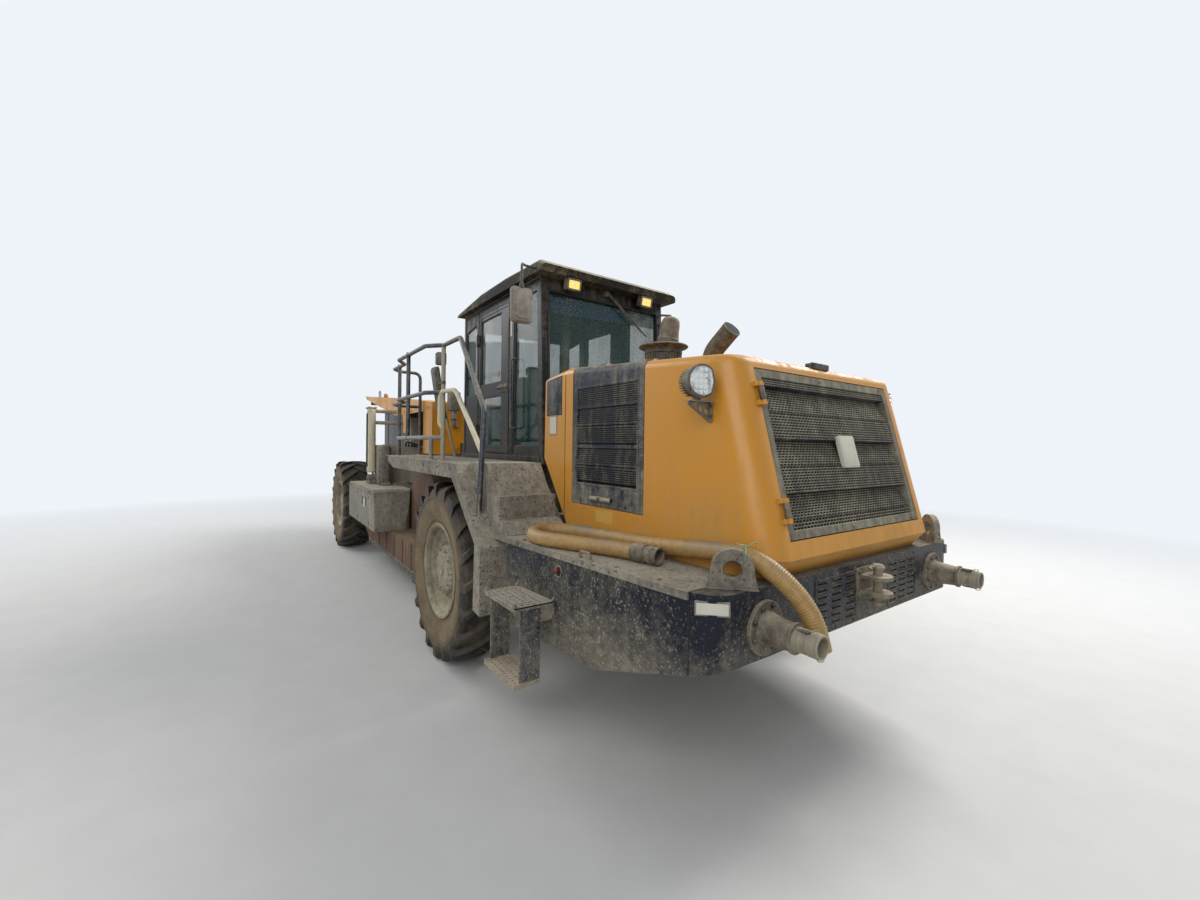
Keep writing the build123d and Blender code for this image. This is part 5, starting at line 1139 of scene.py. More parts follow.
# Tow clevis with its pin, washer and handle
PIN_X = 4.675
clevis = Piece("tow_clevis_pinned", "chassis", "cast_steel", STEEL, ("tow_clevis",), sharp=35)
ear = [(BUMPER_X, -0.075), (4.655, -0.075)]
ear += [(PIN_X + 0.075 * cos(a), 0.075 * sin(a)) for a in [radians(-90 + 10 * k) for k in range(19)]]
ear += [(4.655, 0.075), (BUMPER_X, 0.075)]
hole = [(PIN_X + a, b) for a, b in ring(24, 0.0245)]
for z in (1.09, 1.18):
    pierced(clevis, ear, [hole], z, z + 0.022, None, 0.003)
clevis.block((BUMPER_X, -0.095, 1.056), (4.612, 0.095, 1.236), 0.004, 2)
bolts(clevis.use(DARK_STEEL), (4.612,), (-0.078, 0.078), (1.078, 1.214), (1, 0, 0), 0.012, 0.012)
clevis.use(ALUMINIUM).turned([(1.031, 0.0), (1.034, 0.02), (1.04, 0.0235), (1.236, 0.0235), (1.238, 0.034),
    (1.25, 0.034), (1.254, 0.028), (1.261, 0.024), (1.261, 0.0)], (PIN_X, 0, 0), "z", 32)
clevis.use(STEEL).bent([(PIN_X, -0.03, 1.252), (PIN_X, -0.1, 1.256), (4.7, -0.12, 1.25)], 0.03, 0.007, 12)
clevis.turned([(1.052, 0.024), (1.052, 0.036), (1.057, 0.036), (1.057, 0.024)], (PIN_X, 0, 0), "z", 24)
clevis.tube([(PIN_X, -0.034, 1.046), (PIN_X, 0.034, 1.046)], 0.0035, 8)
clevis.done()

# Lifting lugs with worn eyes, weld beads at the foot and a green tie on the right one
lugs = Piece("lifting_lugs_worn", "chassis", "deck_paint", DECK, ("lifting_lugs",), sharp=40)
EYE_Z, LUG_RADIUS, LUG_FOOT, DECK_Z = 1.349, 0.095, 0.113, 1.262
HALF = sqrt(0.5)
lug_outline = [(-LUG_FOOT, DECK_Z), (LUG_FOOT, DECK_Z)]
lug_outline += [(LUG_RADIUS * cos(a), EYE_Z + LUG_RADIUS * sin(a)) for a in [radians(-4 + 7.83 * k)
    for k in range(25)]]
eye = [(a, EYE_Z + b) for a, b in ring(36, 0.042)]
for side in (-1, 1):
    lug_place = Matrix(((HALF, 0, HALF, 4.537), (-side * HALF, 0, side * HALF, side * 1.065), (0, 1, 0, 0),
        (0, 0, 0, 1)))
    lugs.use(DECK)
    pierced(lugs, lug_outline, [eye], -0.02, 0.02, lug_place, 0.0035)
    lugs.use(STEEL).turned([(-0.0195, 0.0425), (-0.012, 0.0395), (0.012, 0.0395), (0.0195, 0.0425)],
        (0, EYE_Z, 0), "z", 36, lug_place)
    for depth in (-0.023, 0.023):
        weld = [lug_place @ Vector((-LUG_FOOT + k * 0.0113, DECK_Z + 0.003 + 0.0008 * (k % 2), depth))
            for k in range(21)]
        lugs.tube(weld, 0.005, 8)
lugs.use(GREEN_TIE)
tie_place = Matrix(((HALF, 0, HALF, 4.537), (HALF, 0, -HALF, -1.065), (0, 1, 0, 0), (0, 0, 0, 1)))
tie = [tie_place @ Vector((0.052 + 0.002 * sin(a), EYE_Z + 0.068 + 0.03 * sin(a), 0.026 * cos(a)))
    for a in [k * pi / 10 for k in range(21)]]
lugs.tube(tie, 0.0028, 8)
for a, b in ((0.055, 0.02), (-0.035, 0.04), (0.05, -0.02)):
    knot = tie_place @ Vector((0.052, EYE_Z + 0.098, 0.0))
    lugs.tube([knot, knot + Vector((0.3 * a, a, 0.02)), knot + Vector((0.2 * b, a + b, 0.012))], 0.0022, 8)
lugs.done()

# Cab: wiper, window seals, gutters and pillar plates; door fittings; seat and console
cab = Piece("cab_fittings", "chassis", "cab_paint", PLASTIC, sharp=35)
SCREEN_LOW, SCREEN_HIGH, SCREEN_HALF, CAB_WALL_Y = 1.84, 3.28, 0.65, 0.72


def screen_x(z):
    return 2.18 - (z - 1.723) * 0.04174


def screen_point(y, z, out):
    return Vector((screen_x(z) + out, y, z))


seal = [screen_point(y, z, 0.002) for y, z in ((-SCREEN_HALF, SCREEN_LOW), (SCREEN_HALF, SCREEN_LOW),
    (SCREEN_HALF, SCREEN_HIGH), (-SCREEN_HALF, SCREEN_HIGH), (-SCREEN_HALF, SCREEN_LOW))]
for start, end in zip(seal, seal[1:]):
    cab.use(RUBBER).tube([start, end], 0.011, 10)
for shift in (0.0, 0.028):
    cab.use(DARK_STEEL).tube([screen_point(-0.01 + shift, 3.372, 0.03), screen_point(0.02 + shift, 3.34,
        0.036), screen_point(0.44 + shift, 3.045, 0.014)], 0.005, 10)
cab.use(RUBBER).tube([screen_point(0.2, 3.235, 0.006), screen_point(0.5, 3.025, 0.006)], 0.006, 10)
cab.use(PLASTIC).turned([(0.0, 0.0), (0.0, 0.03), (0.03, 0.028), (0.04, 0.018), (0.04, 0.0)],
    screen_point(-0.01, 3.365, 0.0), "x", 24)
# Blue band along the top of the windscreen
band_outline = [(-SCREEN_HALF + 0.02, 3.1), (SCREEN_HALF - 0.02, 3.13),
    (SCREEN_HALF - 0.02, SCREEN_HIGH - 0.012), (-SCREEN_HALF + 0.02, SCREEN_HIGH - 0.012)]
band_place = shifted(screen_x(3.2) - 0.031, 0, 0) @ front_face(0)
cab.use(BAND).prism(band_outline, -0.0015, 0.0, "z", 0, 1, band_place)
for side in (-1, 1):
    wall = side_face(side, CAB_WALL_Y)
    # Rubber seals round the windows
    for outline in ([(1.6, 1.88), (2.098, 1.88), (2.04, 3.29), (1.6, 3.29)], [(0.3, 2.45), (0.62, 2.45),
            (0.62, 3.25), (0.3, 3.2)]):
        seal_round(cab, wall_path(side, CAB_WALL_Y, [(x, z, -0.01) for x, z in outline]), 0.01)
    # Gutter, pillar plates and their screws
    side_strip(cab, DARK_STEEL, side, CAB_WALL_Y, (0.25, 2.11), (3.386, 3.398), (-0.004, 0.014), 0.003, 2)
    for first, second in ((1.505, 1.585), (0.252, 0.288), (0.635, 0.68)):
        low, high = side_span(side, first, second)
        cab.use(CAB).panel((low, 1.8), (high, 3.37), 0.01, 3, -0.002, 0.006, 0.002, 2, wall)
        for z in (1.88, 2.585, 3.29):
            cab.use(DARK_STEEL).bolt(wall @ Vector(((low + high) / 2, z, 0.006)), (0, side, 0), 0.006,
                0.004)
    low, high = side_span(side, 1.512, 1.545)
    cab.use(PLATE).panel((low, 2.96), (high, 3.12), 0.004, 2, 0.004, 0.0075, 0.001, 1, wall)
    side_strip(cab, CAB, side, CAB_WALL_Y, (0.26, 2.13), (1.726, 1.79), (-0.002, 0.01), 0.003, 2)
    # Grab bar beside the door
    bar = [(1.64, 2.05, -0.006), (1.64, 2.05, 0.058), (1.64, 2.72, 0.058), (1.64, 2.72, -0.006)]
    cab.use(RAIL).bent(wall_path(side, CAB_WALL_Y, bar), 0.03, 0.01, 12)
cab.done()

for side_name, side in SIDES:
    wall = side_face(side, CAB_WALL_Y)
    door = Piece(f"cab_door_fittings_{side_name}", f"cab_door_{side_name}", "cab_paint", RUBBER, sharp=35)
    for z0, z1 in ((2.54, 3.25), (1.88, 2.4)):
        window = [(0.76, z0, -0.008), (1.29, z0, -0.008), (1.29, z1, -0.008), (0.76, z1, -0.008)]
        seal_round(door, wall_path(side, CAB_WALL_Y, window), 0.009)
    low, high = side_span(side, 0.712, 1.47)
    door.use(CAB)
    border(door, (low, 1.812), (high, 3.31), 0.02, 4, 0.03, 0.012, -0.002, 0.005, wall)
    low, high = side_span(side, 1.23, 1.44)
    door.use(DARK_STEEL).panel((low, 2.425), (high, 2.51), 0.012, 4, -0.002, 0.008, 0.003, 2, wall)
    door.use(PLASTIC).bent([wall @ Vector((low + 0.03, 2.468, 0.004)),
        wall @ Vector((low + 0.03, 2.468, 0.04)), wall @ Vector((high - 0.05, 2.468, 0.04)),
        wall @ Vector((high - 0.05, 2.468, 0.004))], 0.018, 0.009, 12)
    door.turned([(0.006, 0.0), (0.006, 0.016), (0.02, 0.016), (0.022, 0.013), (0.022, 0.0)],
        (high - 0.022, 2.468, 0), "z", 20, wall)
    low, high = side_span(side, 1.165, 1.225)
    door.use(LABEL).panel((low, 2.6), (high, 2.655), 0.006, 3, -0.019, -0.0175, 0, 1, wall)
    for x, heights in ((0.8, (1.846, 2.47)), (1.05, (1.846, 2.47)), (1.3, (1.846,))):
        wall_bolts(door, DARK_STEEL, side, CAB_WALL_Y, (x,), heights, 0.006, 0.005)
    door.done()

seat = Piece("seat_upholstered", "chassis", "seat_fabric", SEAT, ("driver_seat",), sharp=40)
seat.use(PLASTIC).block((0.8, -0.19, 1.783), (1.14, 0.19, 1.85), 0.012, 3)
for k in range(5):
    z = 1.862 + k * 0.04
    seat.use(RUBBER).panel((0.81, -0.18), (1.13, 0.18), 0.03, 4, z, z + 0.03, 0.01, 3)
seat.use(PLASTIC).block((0.77, -0.24, 2.06), (1.2, 0.24, 2.092), 0.01, 2)
seat.use(SEAT).panel((0.73, -0.17), (1.255, 0.17), 0.06, 6, 2.09, 2.2, 0.03, 4)
for y in (-0.215, 0.215):
    seat.panel((0.735, y - 0.045), (1.25, y + 0.045), 0.04, 6, 2.085, 2.21, 0.022, 4)
back = shifted(0.77, 0, 2.19) @ spun(radians(-7), "Y")
seat.panel((-0.16, 0.0), (0.16, 0.52), 0.05, 6, -0.05, 0.05, 0.026, 4, back, "x")
for y in (-0.205, 0.205):
    seat.panel((y - 0.042, 0.01), (y + 0.042, 0.5), 0.04, 6, -0.04, 0.062, 0.022, 4, back, "x")
seat.panel((-0.13, 0.53), (0.13, 0.64), 0.04, 6, -0.036, 0.036, 0.022, 4, back, "x")
for y in (-0.22, 0.22):
    seat.use(PLASTIC).panel((0.84, y - 0.03), (1.2, y + 0.03), 0.025, 5, 2.212, 2.25, 0.012, 3)
seat.done()

console = Piece("console_and_wheel", "chassis", "black_plastic", PLASTIC, ("steering_console",), sharp=40)
console.panel((1.722, -0.118), (1.918, 0.118), 0.03, 5, 1.783, 2.2, 0.01, 3)
console.prism([(1.722, 2.19), (1.918, 2.19), (1.905, 2.296), (1.8, 2.298), (1.722, 2.24)], -0.118, 0.118,
    "y", 0.012, 3)
console.tube([(1.79, 0, 2.18), (1.64, 0, 2.418)], 0.028, 20)
wheel_place = shifted(1.64, 0, 2.42) @ toward((-0.5, 0, 0.866))
rim_section = [(0.0125 * sin(a), 0.19 + 0.0145 * cos(a)) for a in [k * pi / 6 for k in range(12)]]
console.turned(rim_section, (0, 0, 0), "z", 64, wheel_place, closed=True)
console.turned([(-0.01, 0.0), (-0.012, 0.048), (0.004, 0.05), (0.012, 0.04), (0.014, 0.0)], (0, 0, 0), "z",
    32, wheel_place)
for turn in (radians(90), radians(210), radians(330)):
    spoke = wheel_place @ spun(turn, "Z")
    console.block((0.04, -0.015, -0.006), (0.184, 0.015, 0.003), 0.004, 2, spoke)
console.use(DARK_STEEL)
for y in (-0.07, 0.0, 0.07):
    console.turned([(2.296, 0.0), (2.296, 0.014), (2.3, 0.012), (2.3, 0.0)], (1.85, y, 0), "z", 16)
console.done()

# Bumper: pressed louvre hoods, seams, bare corner plates; deck: tie loops and bolts
bumper = Piece("bumper_fittings", "chassis", "body_paint", NAVY, sharp=35)
LOUVRE_Y = (-0.43, -0.29, -0.15, 0.36, 0.48, 0.6)
for y in LOUVRE_Y:
    for row in range(7):
        z = 1.094 + (row - 3) * 0.036
        # Black strip behind each slat: painted shade of the louvre opening
        bumper.use(PAINTED_SHADE).block((4.5882, y - 0.042, z - 0.0095), (4.5888, y + 0.042, z + 0.0095), 0, 1)
        slat = [(4.589, z + 0.0098), (4.6035, z + 0.0098), (4.6045, z + 0.006), (4.5935, z - 0.004),
            (4.589, z - 0.004)]
        bumper.use(NAVY).prism(slat, y - 0.0425, y + 0.0425, "y", 0.0012, 2)
face = front_face(BUMPER_X)
for y0, y1 in ((-0.5, -0.08), (0.29, 0.67)):
    bumper.use(NAVY)
    border(bumper, (y0, 0.962), (y1, 1.226), 0.012, 3, 0.01, 0.008, -0.002, 0.004, face)
    row = (y0 + 0.02, (y0 + y1) / 2, y1 - 0.02)
    bolts(bumper.use(DARK_STEEL), (BUMPER_X,), row, (0.955, 1.233), (1, 0, 0), 0.008, 0.006)
for side in (-1, 1):
    seam_y = side * 1.2592
    box(bumper.use(SEAM), (4.46, 4.4645), (seam_y, seam_y - side * 0.004), (0.895, 1.2625), 0, 1)
    if side > 0:
        bumper.block((4.46, -1.255, 1.2605), (4.4645, 1.255, 1.2628), 0, 1)
    corner_place = Matrix(((-side * HALF, 0, HALF, 4.548), (HALF, 0, side * HALF, side * 1.206),
        (0, 1, 0, 0), (0, 0, 0, 1)))
    bumper.use(MIRROR_BACK).panel((-0.075, 1.17), (0.075, 1.234), 0.005, 2, -0.004, 0.0105, 0.002, 1,
        corner_place)
    bumper.use(PLATE).panel((-0.068, 1.177), (0.068, 1.227), 0.004, 2, 0.009, 0.0125, 0.001, 1,
        corner_place)
    for x, away in ((3.468, 1.208), (3.714, 1.3)):
        y = side * away
        bumper.use(STEEL).bent([(x - 0.055, y, DECK_Z), (x - 0.045, y, 1.3), (x + 0.045, y, 1.3),
            (x + 0.055, y, DECK_Z)], 0.03, 0.008, 12)
        for end in (-0.055, 0.055):
            bumper.turned([(1.26, 0.0), (1.26, 0.017), (1.266, 0.015), (1.268, 0.008)], (x + end, y, 0),
                "z", 14)
    for x in (3.05, 3.35, 3.65, 3.95, 4.25):
        edge = bumper_edge(x)
        bumper.use(STEEL).bolt((x, side * (edge - 0.035), DECK_Z), (0, 0, 1), 0.01, 0.007)
        bumper.bolt((x, side * (edge + 0.0142), 1.244), (0, side, 0), 0.006, 0.004)
    bolts(bumper, (4.2, 4.38), (side * 0.2, side * 0.55), (DECK_Z,), (0, 0, 1), 0.01, 0.007)
bumper.use(STEEL)
for y in (-0.8, -0.4, 0.0, 0.4, 0.8):
    bumper.bolt((4.5, y + 0.02, DECK_Z), (0, 0, 1), 0.011, 0.008)
    bumper.bolt((4.424, y - 0.03, DECK_Z), (0, 0, 1), 0.011, 0.008)
bumper.done()

# Ladders: perforated treads, gusset brackets and navy straps
ladder = Piece("ladders_perforated", "chassis", "deck_paint", DECK, ("ladders",), sharp=35)


def tread_holes(low, high, rows, columns, radius):
    holes = []
    for row in range(rows):
        for column in range(columns):
            x = low[0] + (high[0] - low[0]) * (column + 0.5) / columns
            y = low[1] + (high[1] - low[1]) * (row + 0.5) / rows
            holes.append([(x + a, y + b) for a, b in ring(8, radius)])
    return holes


for side in (-1, 1):
    mirrored = Matrix(((1, 0, 0, 0), (0, side, 0, 0), (0, 0, 1, 0), (0, 0, 0, 1)))
    wall_rear, wall_front = bumper_edge(3.03), bumper_edge(3.45)
    upper = [(3.03, 1.6), (3.03, wall_rear), (3.45, wall_front), (3.45, 1.6)]
    ladder.use(DECK)
    pierced(ladder, upper, tread_holes((3.045, 1.4), (3.435, 1.59), 5, 11, 0.0085), 0.957, 0.965, mirrored)
    ladder.prism([(3.03, 0.94), (3.45, 0.94), (3.45, 0.958), (3.03, 0.958)], 1.594, 1.6, "y", 0.002, 1,
        mirrored)
    lower = round_box((3.03, 1.42), (3.45, 1.6), 0.01, 3)
    ladder.use(TREAD_PINK)
    pierced(ladder, lower, tread_holes((3.045, 1.43), (3.435, 1.59), 4, 11, 0.0085), 0.517, 0.525, mirrored)
    for y in (1.42, 1.594):
        ladder.prism([(3.03, 0.5), (3.45, 0.5), (3.45, 0.518), (3.03, 0.518)], y, y + 0.006, "y", 0.002, 1,
            mirrored)
    for x, wall in ((3.03, wall_rear), (3.438, wall_front)):
        gusset = [(wall, 0.86), (1.52, 0.86), (1.598, 0.93), (1.598, 0.99), (1.585, 0.99), (1.575, 0.966),
            (wall + 0.02, 0.966), (wall, 0.99)]
        ladder.use(DECK).prism(gusset, x, x + 0.012, "x", 0.002, 1, mirrored)
        ladder.use(STRAP).prism([(1.43, 0.52), (1.56, 0.52), (1.56, 0.945), (1.43, 0.945)], x - 0.0015,
            x + 0.0135, "x", 0.004, 2, mirrored)
        ladder.use(TREAD_PINK).prism([(1.424, 0.5), (1.596, 0.5), (1.596, 0.53), (1.424, 0.53)], x - 0.003,
            x + 0.015, "x", 0.002, 1, mirrored)
        # Bolts on both faces of the strap; the rear strap's inner face looks forward
        facing = 1 if wall == wall_rear else -1
        inside, outside = (x + 0.0135, x - 0.0015)[::facing]
        for y in (1.455, 1.535):
            for z in (0.885, 0.925):
                ladder.use(STEEL).bolt((inside, side * y, z), (facing, 0, 0), 0.009, 0.007)
                ladder.bolt((outside, side * y, z), (-facing, 0, 0), 0.009, 0.007)
ladder.done()

# Platform: hook by the stair, raised ovals, lamp box on the rail; a hole with a red plug below
PLATFORM_Y = 1.48
platform = Piece("platform_fittings", "chassis", "deck_paint", DECK, sharp=35)
for side in (-1, 1):
    hook = [(2.472, side * 1.41, 1.52), (2.478, side * 1.425, 1.44), (2.51, side * 1.43, 1.36),
        (2.56, side * 1.425, 1.33), (2.59, side * 1.415, 1.36)]
    platform.use(STEEL).bent(hook, 0.04, 0.008, 12)
    wall_bolts(platform, STEEL, side, PLATFORM_Y, (0.05, 0.45, 0.85, 1.25, 1.65, 2.0), (1.69,), 0.01, 0.006)
    side_strip(platform, DECK, side, PLATFORM_Y, (-0.15, 2.09), (1.728, 1.7365), (-0.004, 0.003), 0.002, 1)
    # Raised ovals of the tread plate
    for row in range(26):
        for column in range(6):
            x, y = -0.1 + row * 0.085, 0.86 + column * 0.105 + (0.05 if row % 2 else 0.0)
            if y < PLATFORM_Y - 0.04:
                turn = shifted(x, side * y, FLOOR_Z) @ spun(radians(45 if (row + column) % 2 else -45), "Z")
                platform.prism([(0.016 * cos(a), 0.0045 * sin(a)) for a in [k * pi / 3 for k in range(6)]],
                    -0.001, 0.0022, "z", 0, 1, turn)
    lamp_at = (1.18, side * 1.3, 2.72)
    platform.use(PLASTIC).panel((-0.045, -0.06), (0.045, 0.06), 0.012, 3, -0.045, 0.02, 0.006, 2,
        Matrix.Translation(lamp_at) @ front_face(0))
    platform.use(LENS).panel((-0.036, -0.05), (0.036, 0.05), 0.01, 3, 0.019, 0.024, 0.002, 1,
        Matrix.Translation(lamp_at) @ front_face(0))
    platform.use(STEEL).tube([(1.15, side * 1.3, 2.72), (1.25, side * 1.3, 2.735)], 0.01, 12)
    edge = bumper_edge(3.492)
    socket = shifted(3.492, side * edge, 1.15) @ spun(-side * radians(85.5), "X")
    platform.use(STEEL).turned([(-0.004, 0.034), (0.004, 0.038), (0.006, 0.034), (0.004, 0.029),
        (-0.004, 0.029)], (0, 0, 0), "z", 28, socket, closed=True)
    # Black disc in the ring: painted shade of the hole
    platform.use(PAINTED_SHADE).turned([(0.0022, 0.03), (0.0022, 0.0)], (0, 0, 0), "z", 28, socket)
    platform.use(RED_PLUG).turned([(0.001, 0.014), (0.02, 0.014), (0.026, 0.009), (0.026, 0.0)],
        (-0.008, 0.006, 0), "z", 16, socket)
platform.done()

# Lift cylinders: pale tubes with bands, caps and hoses; their rods ride with the drum unit
MAST_Y, POST_X, POST_Y = 1.25, -2.0, 1.13
cylinders = Piece("lift_cylinders_round", "chassis", "pale_paint", PALE_RAIL, ("lift_cylinders",), sharp=35)
rods = Piece("lift_rods_round", "drum_unit", "rod_chrome", CHROME, ("lift_rods",), sharp=35)
for side in (-1, 1):
    for x, radius in ((-2.33, 0.057), (-2.46, 0.047)):
        at = (x, side * MAST_Y, 0)
        cylinders.use(CREAM).turned([(1.44, 0.0362), (1.44, radius), (1.452, radius + 0.001),
            (1.5, radius + 0.001), (1.504, radius - 0.003), (1.93, radius - 0.003), (1.934, radius),
            (1.96, radius), (1.964, radius - 0.003), (2.38, radius - 0.003), (2.384, radius),
            (2.43, radius), (2.43, 0.0362)], at, "z", 40, closed=True)
        cylinders.use(STEEL).turned([(1.441, 0.0365), (1.432, 0.0365), (1.432, radius - 0.008),
            (1.441, radius - 0.006)], at, "z", 32)
        rods.use(CHROME).turned([(1.25, 0.0), (1.25, 0.034), (2.366, 0.034), (2.37, 0.0)], at, "z", 32)
        rods.use(STEEL).turned([(1.25, 0.0), (1.25, 0.052), (1.272, 0.052), (1.28, 0.044), (1.3, 0.036),
            (1.3, 0.0)], at, "z", 28)
    crown = round_box((-2.525, side * MAST_Y - 0.064), (-2.265, side * MAST_Y + 0.064), 0.03, 5)
    cylinders.use(PALE).prism(crown, 2.43, 2.449, "z", 0.004, 2)
    row = (side * MAST_Y - 0.045, side * MAST_Y + 0.045)
    bolts(cylinders.use(STEEL), (-2.5, -2.395, -2.29), row, (2.449,), (0, 0, 1), 0.01, 0.008)
    for shift, height in ((0.0, 2.34), (0.022, 2.3)):
        feed = [(-2.396 + shift, side * 1.29, 1.52), (-2.396 + shift, side * 1.312, 1.56),
            (-2.396 + shift, side * 1.312, height), (-2.396 + shift, side * 1.285, height + 0.04)]
        cylinders.use(RUBBER).bent(feed, 0.03, 0.009, 12)
    for z in (1.7, 2.1):
        box(cylinders.use(STEEL), (-2.405, -2.365), (side * 1.296, side * 1.324), (z, z + 0.022), 0.003, 1)
    # Dark round-topped tank beside the mast, and the hose bundle behind it
    cylinders.use(TANK_GREY).turned([(1.275, 0.0), (1.275, 0.091), (1.3, 0.0915), (1.8, 0.091),
        (1.83, 0.083), (1.852, 0.064), (1.868, 0.036), (1.8705, 0.0)], (POST_X, side * POST_Y, 0), "z", 48)
    for z in (1.4, 1.7):
        cylinders.use(STEEL).turned([(z, 0.0912), (z, 0.0945), (z + 0.022, 0.0945), (z + 0.022, 0.0912)],
            (POST_X, side * POST_Y, 0), "z", 48)
    for k in range(4):
        y = side * (0.64 + 0.045 * k)
        bundle = [(-1.98 + 0.02 * k, side * 0.56, 1.78), (-2.12, y, 1.89 + 0.015 * k), (-2.235, y, 1.84),
            (-2.255, y, 1.56 - 0.02 * k)]
        cylinders.use(RUBBER).bent(bundle, 0.09, 0.013, 12)
cylinders.done()
rods.done()

# Side pods: slots, bare plate, lid seam, screws, handles and the rod clevises
POD_Y = 1.44
pods = Piece("pod_fittings", "drum_unit", "grey_paint", GREY, sharp=35)
for side in (-1, 1):
    wall = side_face(side, POD_Y)
    for x in (-1.96, -1.72):
        low, high = side_span(side, x - 0.028, x + 0.028)
        # Each slot is a flat black panel: painted shade of the opening
        pods.use(PAINTED_SHADE).panel((low, 0.985), (high, 1.105), 0.01, 3, -0.001, 0.0015, 0, 1, wall)
        pods.use(GREY)
        border(pods, (low - 0.008, 0.977), (high + 0.008, 1.113), 0.014, 3, 0.008, 0.01, -0.001, 0.004,
            wall)
    low, high = side_span(side, -1.9, -1.78)
    pods.use(PLATE).panel((low, 0.96), (high, 1.08), 0.006, 2, -0.001, 0.003, 0.001, 1, wall)
    side_strip(pods, SEAM, side, POD_Y, (-3.08, -1.24), (1.176, 1.181), (-0.001, 0.0008), 0, 1)
    side_strip(pods, SEAM, side, POD_Y, (-2.372, -2.366), (0.7, 1.176), (-0.001, 0.0008), 0, 1)
    wall_bolts(pods, STEEL, side, POD_Y, (-3.02, -2.7, -2.42, -2.32, -1.5, -1.3), (0.76, 1.13), 0.011,
        0.008)
    for x in (-2.39, -2.27):
        pods.use(STEEL).turned([(-0.062, 0.0), (-0.062, 0.018), (-0.054, 0.022), (0.054, 0.022),
            (0.062, 0.018), (0.062, 0.0)], (x, side * MAST_Y, 1.345), "y", 24)
    for x in (-2.95, -1.45):
        handle = [(x - 0.07, 1.215, 0.0), (x - 0.07, 1.215, 0.028), (x + 0.07, 1.215, 0.028),
            (x + 0.07, 1.215, 0.0)]
        pods.use(RAIL).bent(wall_path(side, POD_Y, handle), 0.015, 0.006, 10)
pods.done()

# Drum housing: ribs, bolted wear strips; the drum: smooth shell with holders and picks
SKIRT_Y = 1.225
DRUM_X, DRUM_Z = -0.65, 0.935
housing = Piece("housing_ribs", "drum_unit", "housing_paint", RUST, sharp=35)
for side in (-1, 1):
    for x in (-0.1, -0.5, -0.95, -1.4, -1.85, -2.3):
        side_strip(housing, RUST, side, SKIRT_Y, (x - 0.008, x + 0.008), (0.35, 0.68), (-0.002, 0.01),
            0.003, 1)
    side_strip(housing, STEEL, side, SKIRT_Y, (-2.38, 0.06), (0.327, 0.372), (-0.002, 0.008), 0.003, 2)
    wall_bolts(housing, STEEL, side, SKIRT_Y, [-2.3 + k * 0.152 for k in range(16)], (0.35,), 0.012, 0.01,
        0.008)
    hub = shifted(DRUM_X, side * 0.94, DRUM_Z)
    housing.use(STEEL).turned([(0.0, 0.066), (0.0, 0.165), (side * 0.02, 0.165), (side * 0.024, 0.158),
        (side * 0.024, 0.12), (side * 0.036, 0.112), (side * 0.036, 0.066)], (0, 0, 0), "y", 48, hub,
        closed=True)
    for a, b in ring(10, 0.142):
        housing.use(DARK_STEEL).bolt((DRUM_X + a, side * 0.964, DRUM_Z + b), (0, side, 0), 0.011, 0.011)
for body, x, facing, z0, z1 in (("front_flap", 0.08, 1, 0.345, 0.655), ("rear_flap", -2.9, -1, 0.41,
        0.655)):
    flap = Piece(f"{body}_strips", body, "housing_paint", RUST, sharp=35)
    for y in (-1.1, -0.35, 0.35, 1.1):
        box(flap, (x - facing * 0.001, x + facing * 0.012), (y - 0.012, y + 0.012), (z0, z1 - 0.06), 0.003,
            2)
    box(flap.use(STEEL), (x - facing * 0.001, x + facing * 0.009), (-1.17, 1.17), (z0, z0 + 0.055), 0.003,
        2)
    row = [-1.12 + k * 0.16 for k in range(15)]
    bolts(flap.use(DARK_STEEL), (x + facing * 0.009,), row, (z0 + 0.028,), (facing, 0, 0), 0.011, 0.009)
    flap.done()
housing.done()

drum = Piece("drum_with_picks", "milling_drum", "drum_steel", DRUM, ("milling_drum",), (DRUM_X, 0, DRUM_Z),
    sharp=35)
drum.turned([(-0.939, 0.0), (-0.939, 0.058), (-0.866, 0.058), (-0.865, 0.47), (-0.855, 0.48), (0.855, 0.48),
    (0.865, 0.47), (0.866, 0.058), (0.939, 0.058), (0.939, 0.0)], (DRUM_X, 0, DRUM_Z), "y", 96)
for row in range(13):
    y = (row - 6) * (1.73 - 0.09) / 12
    for copy in range(4):
        angle = copy * pi / 2 + abs(row - 6) * radians(24)
        spin = shifted(DRUM_X, y, DRUM_Z) @ spun(angle, "Y")
        drum.use(DRUM).prism([(-0.044, 0.47), (0.036, 0.47), (0.03, 0.512), (0.006, 0.53), (-0.03, 0.524)],
            -0.026, 0.026, "y", 0.005, 2, spin)
        pick = spin @ shifted(-0.004, 0, 0.52) @ spun(radians(28), "Y")
        drum.use(STEEL).turned([(-0.02, 0.0), (-0.02, 0.017), (0.008, 0.018), (0.012, 0.021),
            (0.018, 0.021), (0.02, 0.015), (0.038, 0.01)], (0, 0, 0), "z", 16, pick)
        drum.use(CHROME).turned([(0.037, 0.0), (0.037, 0.0085), (0.052, 0.0045), (0.056, 0.0)], (0, 0, 0),
            "z", 12, pick)
drum.done()

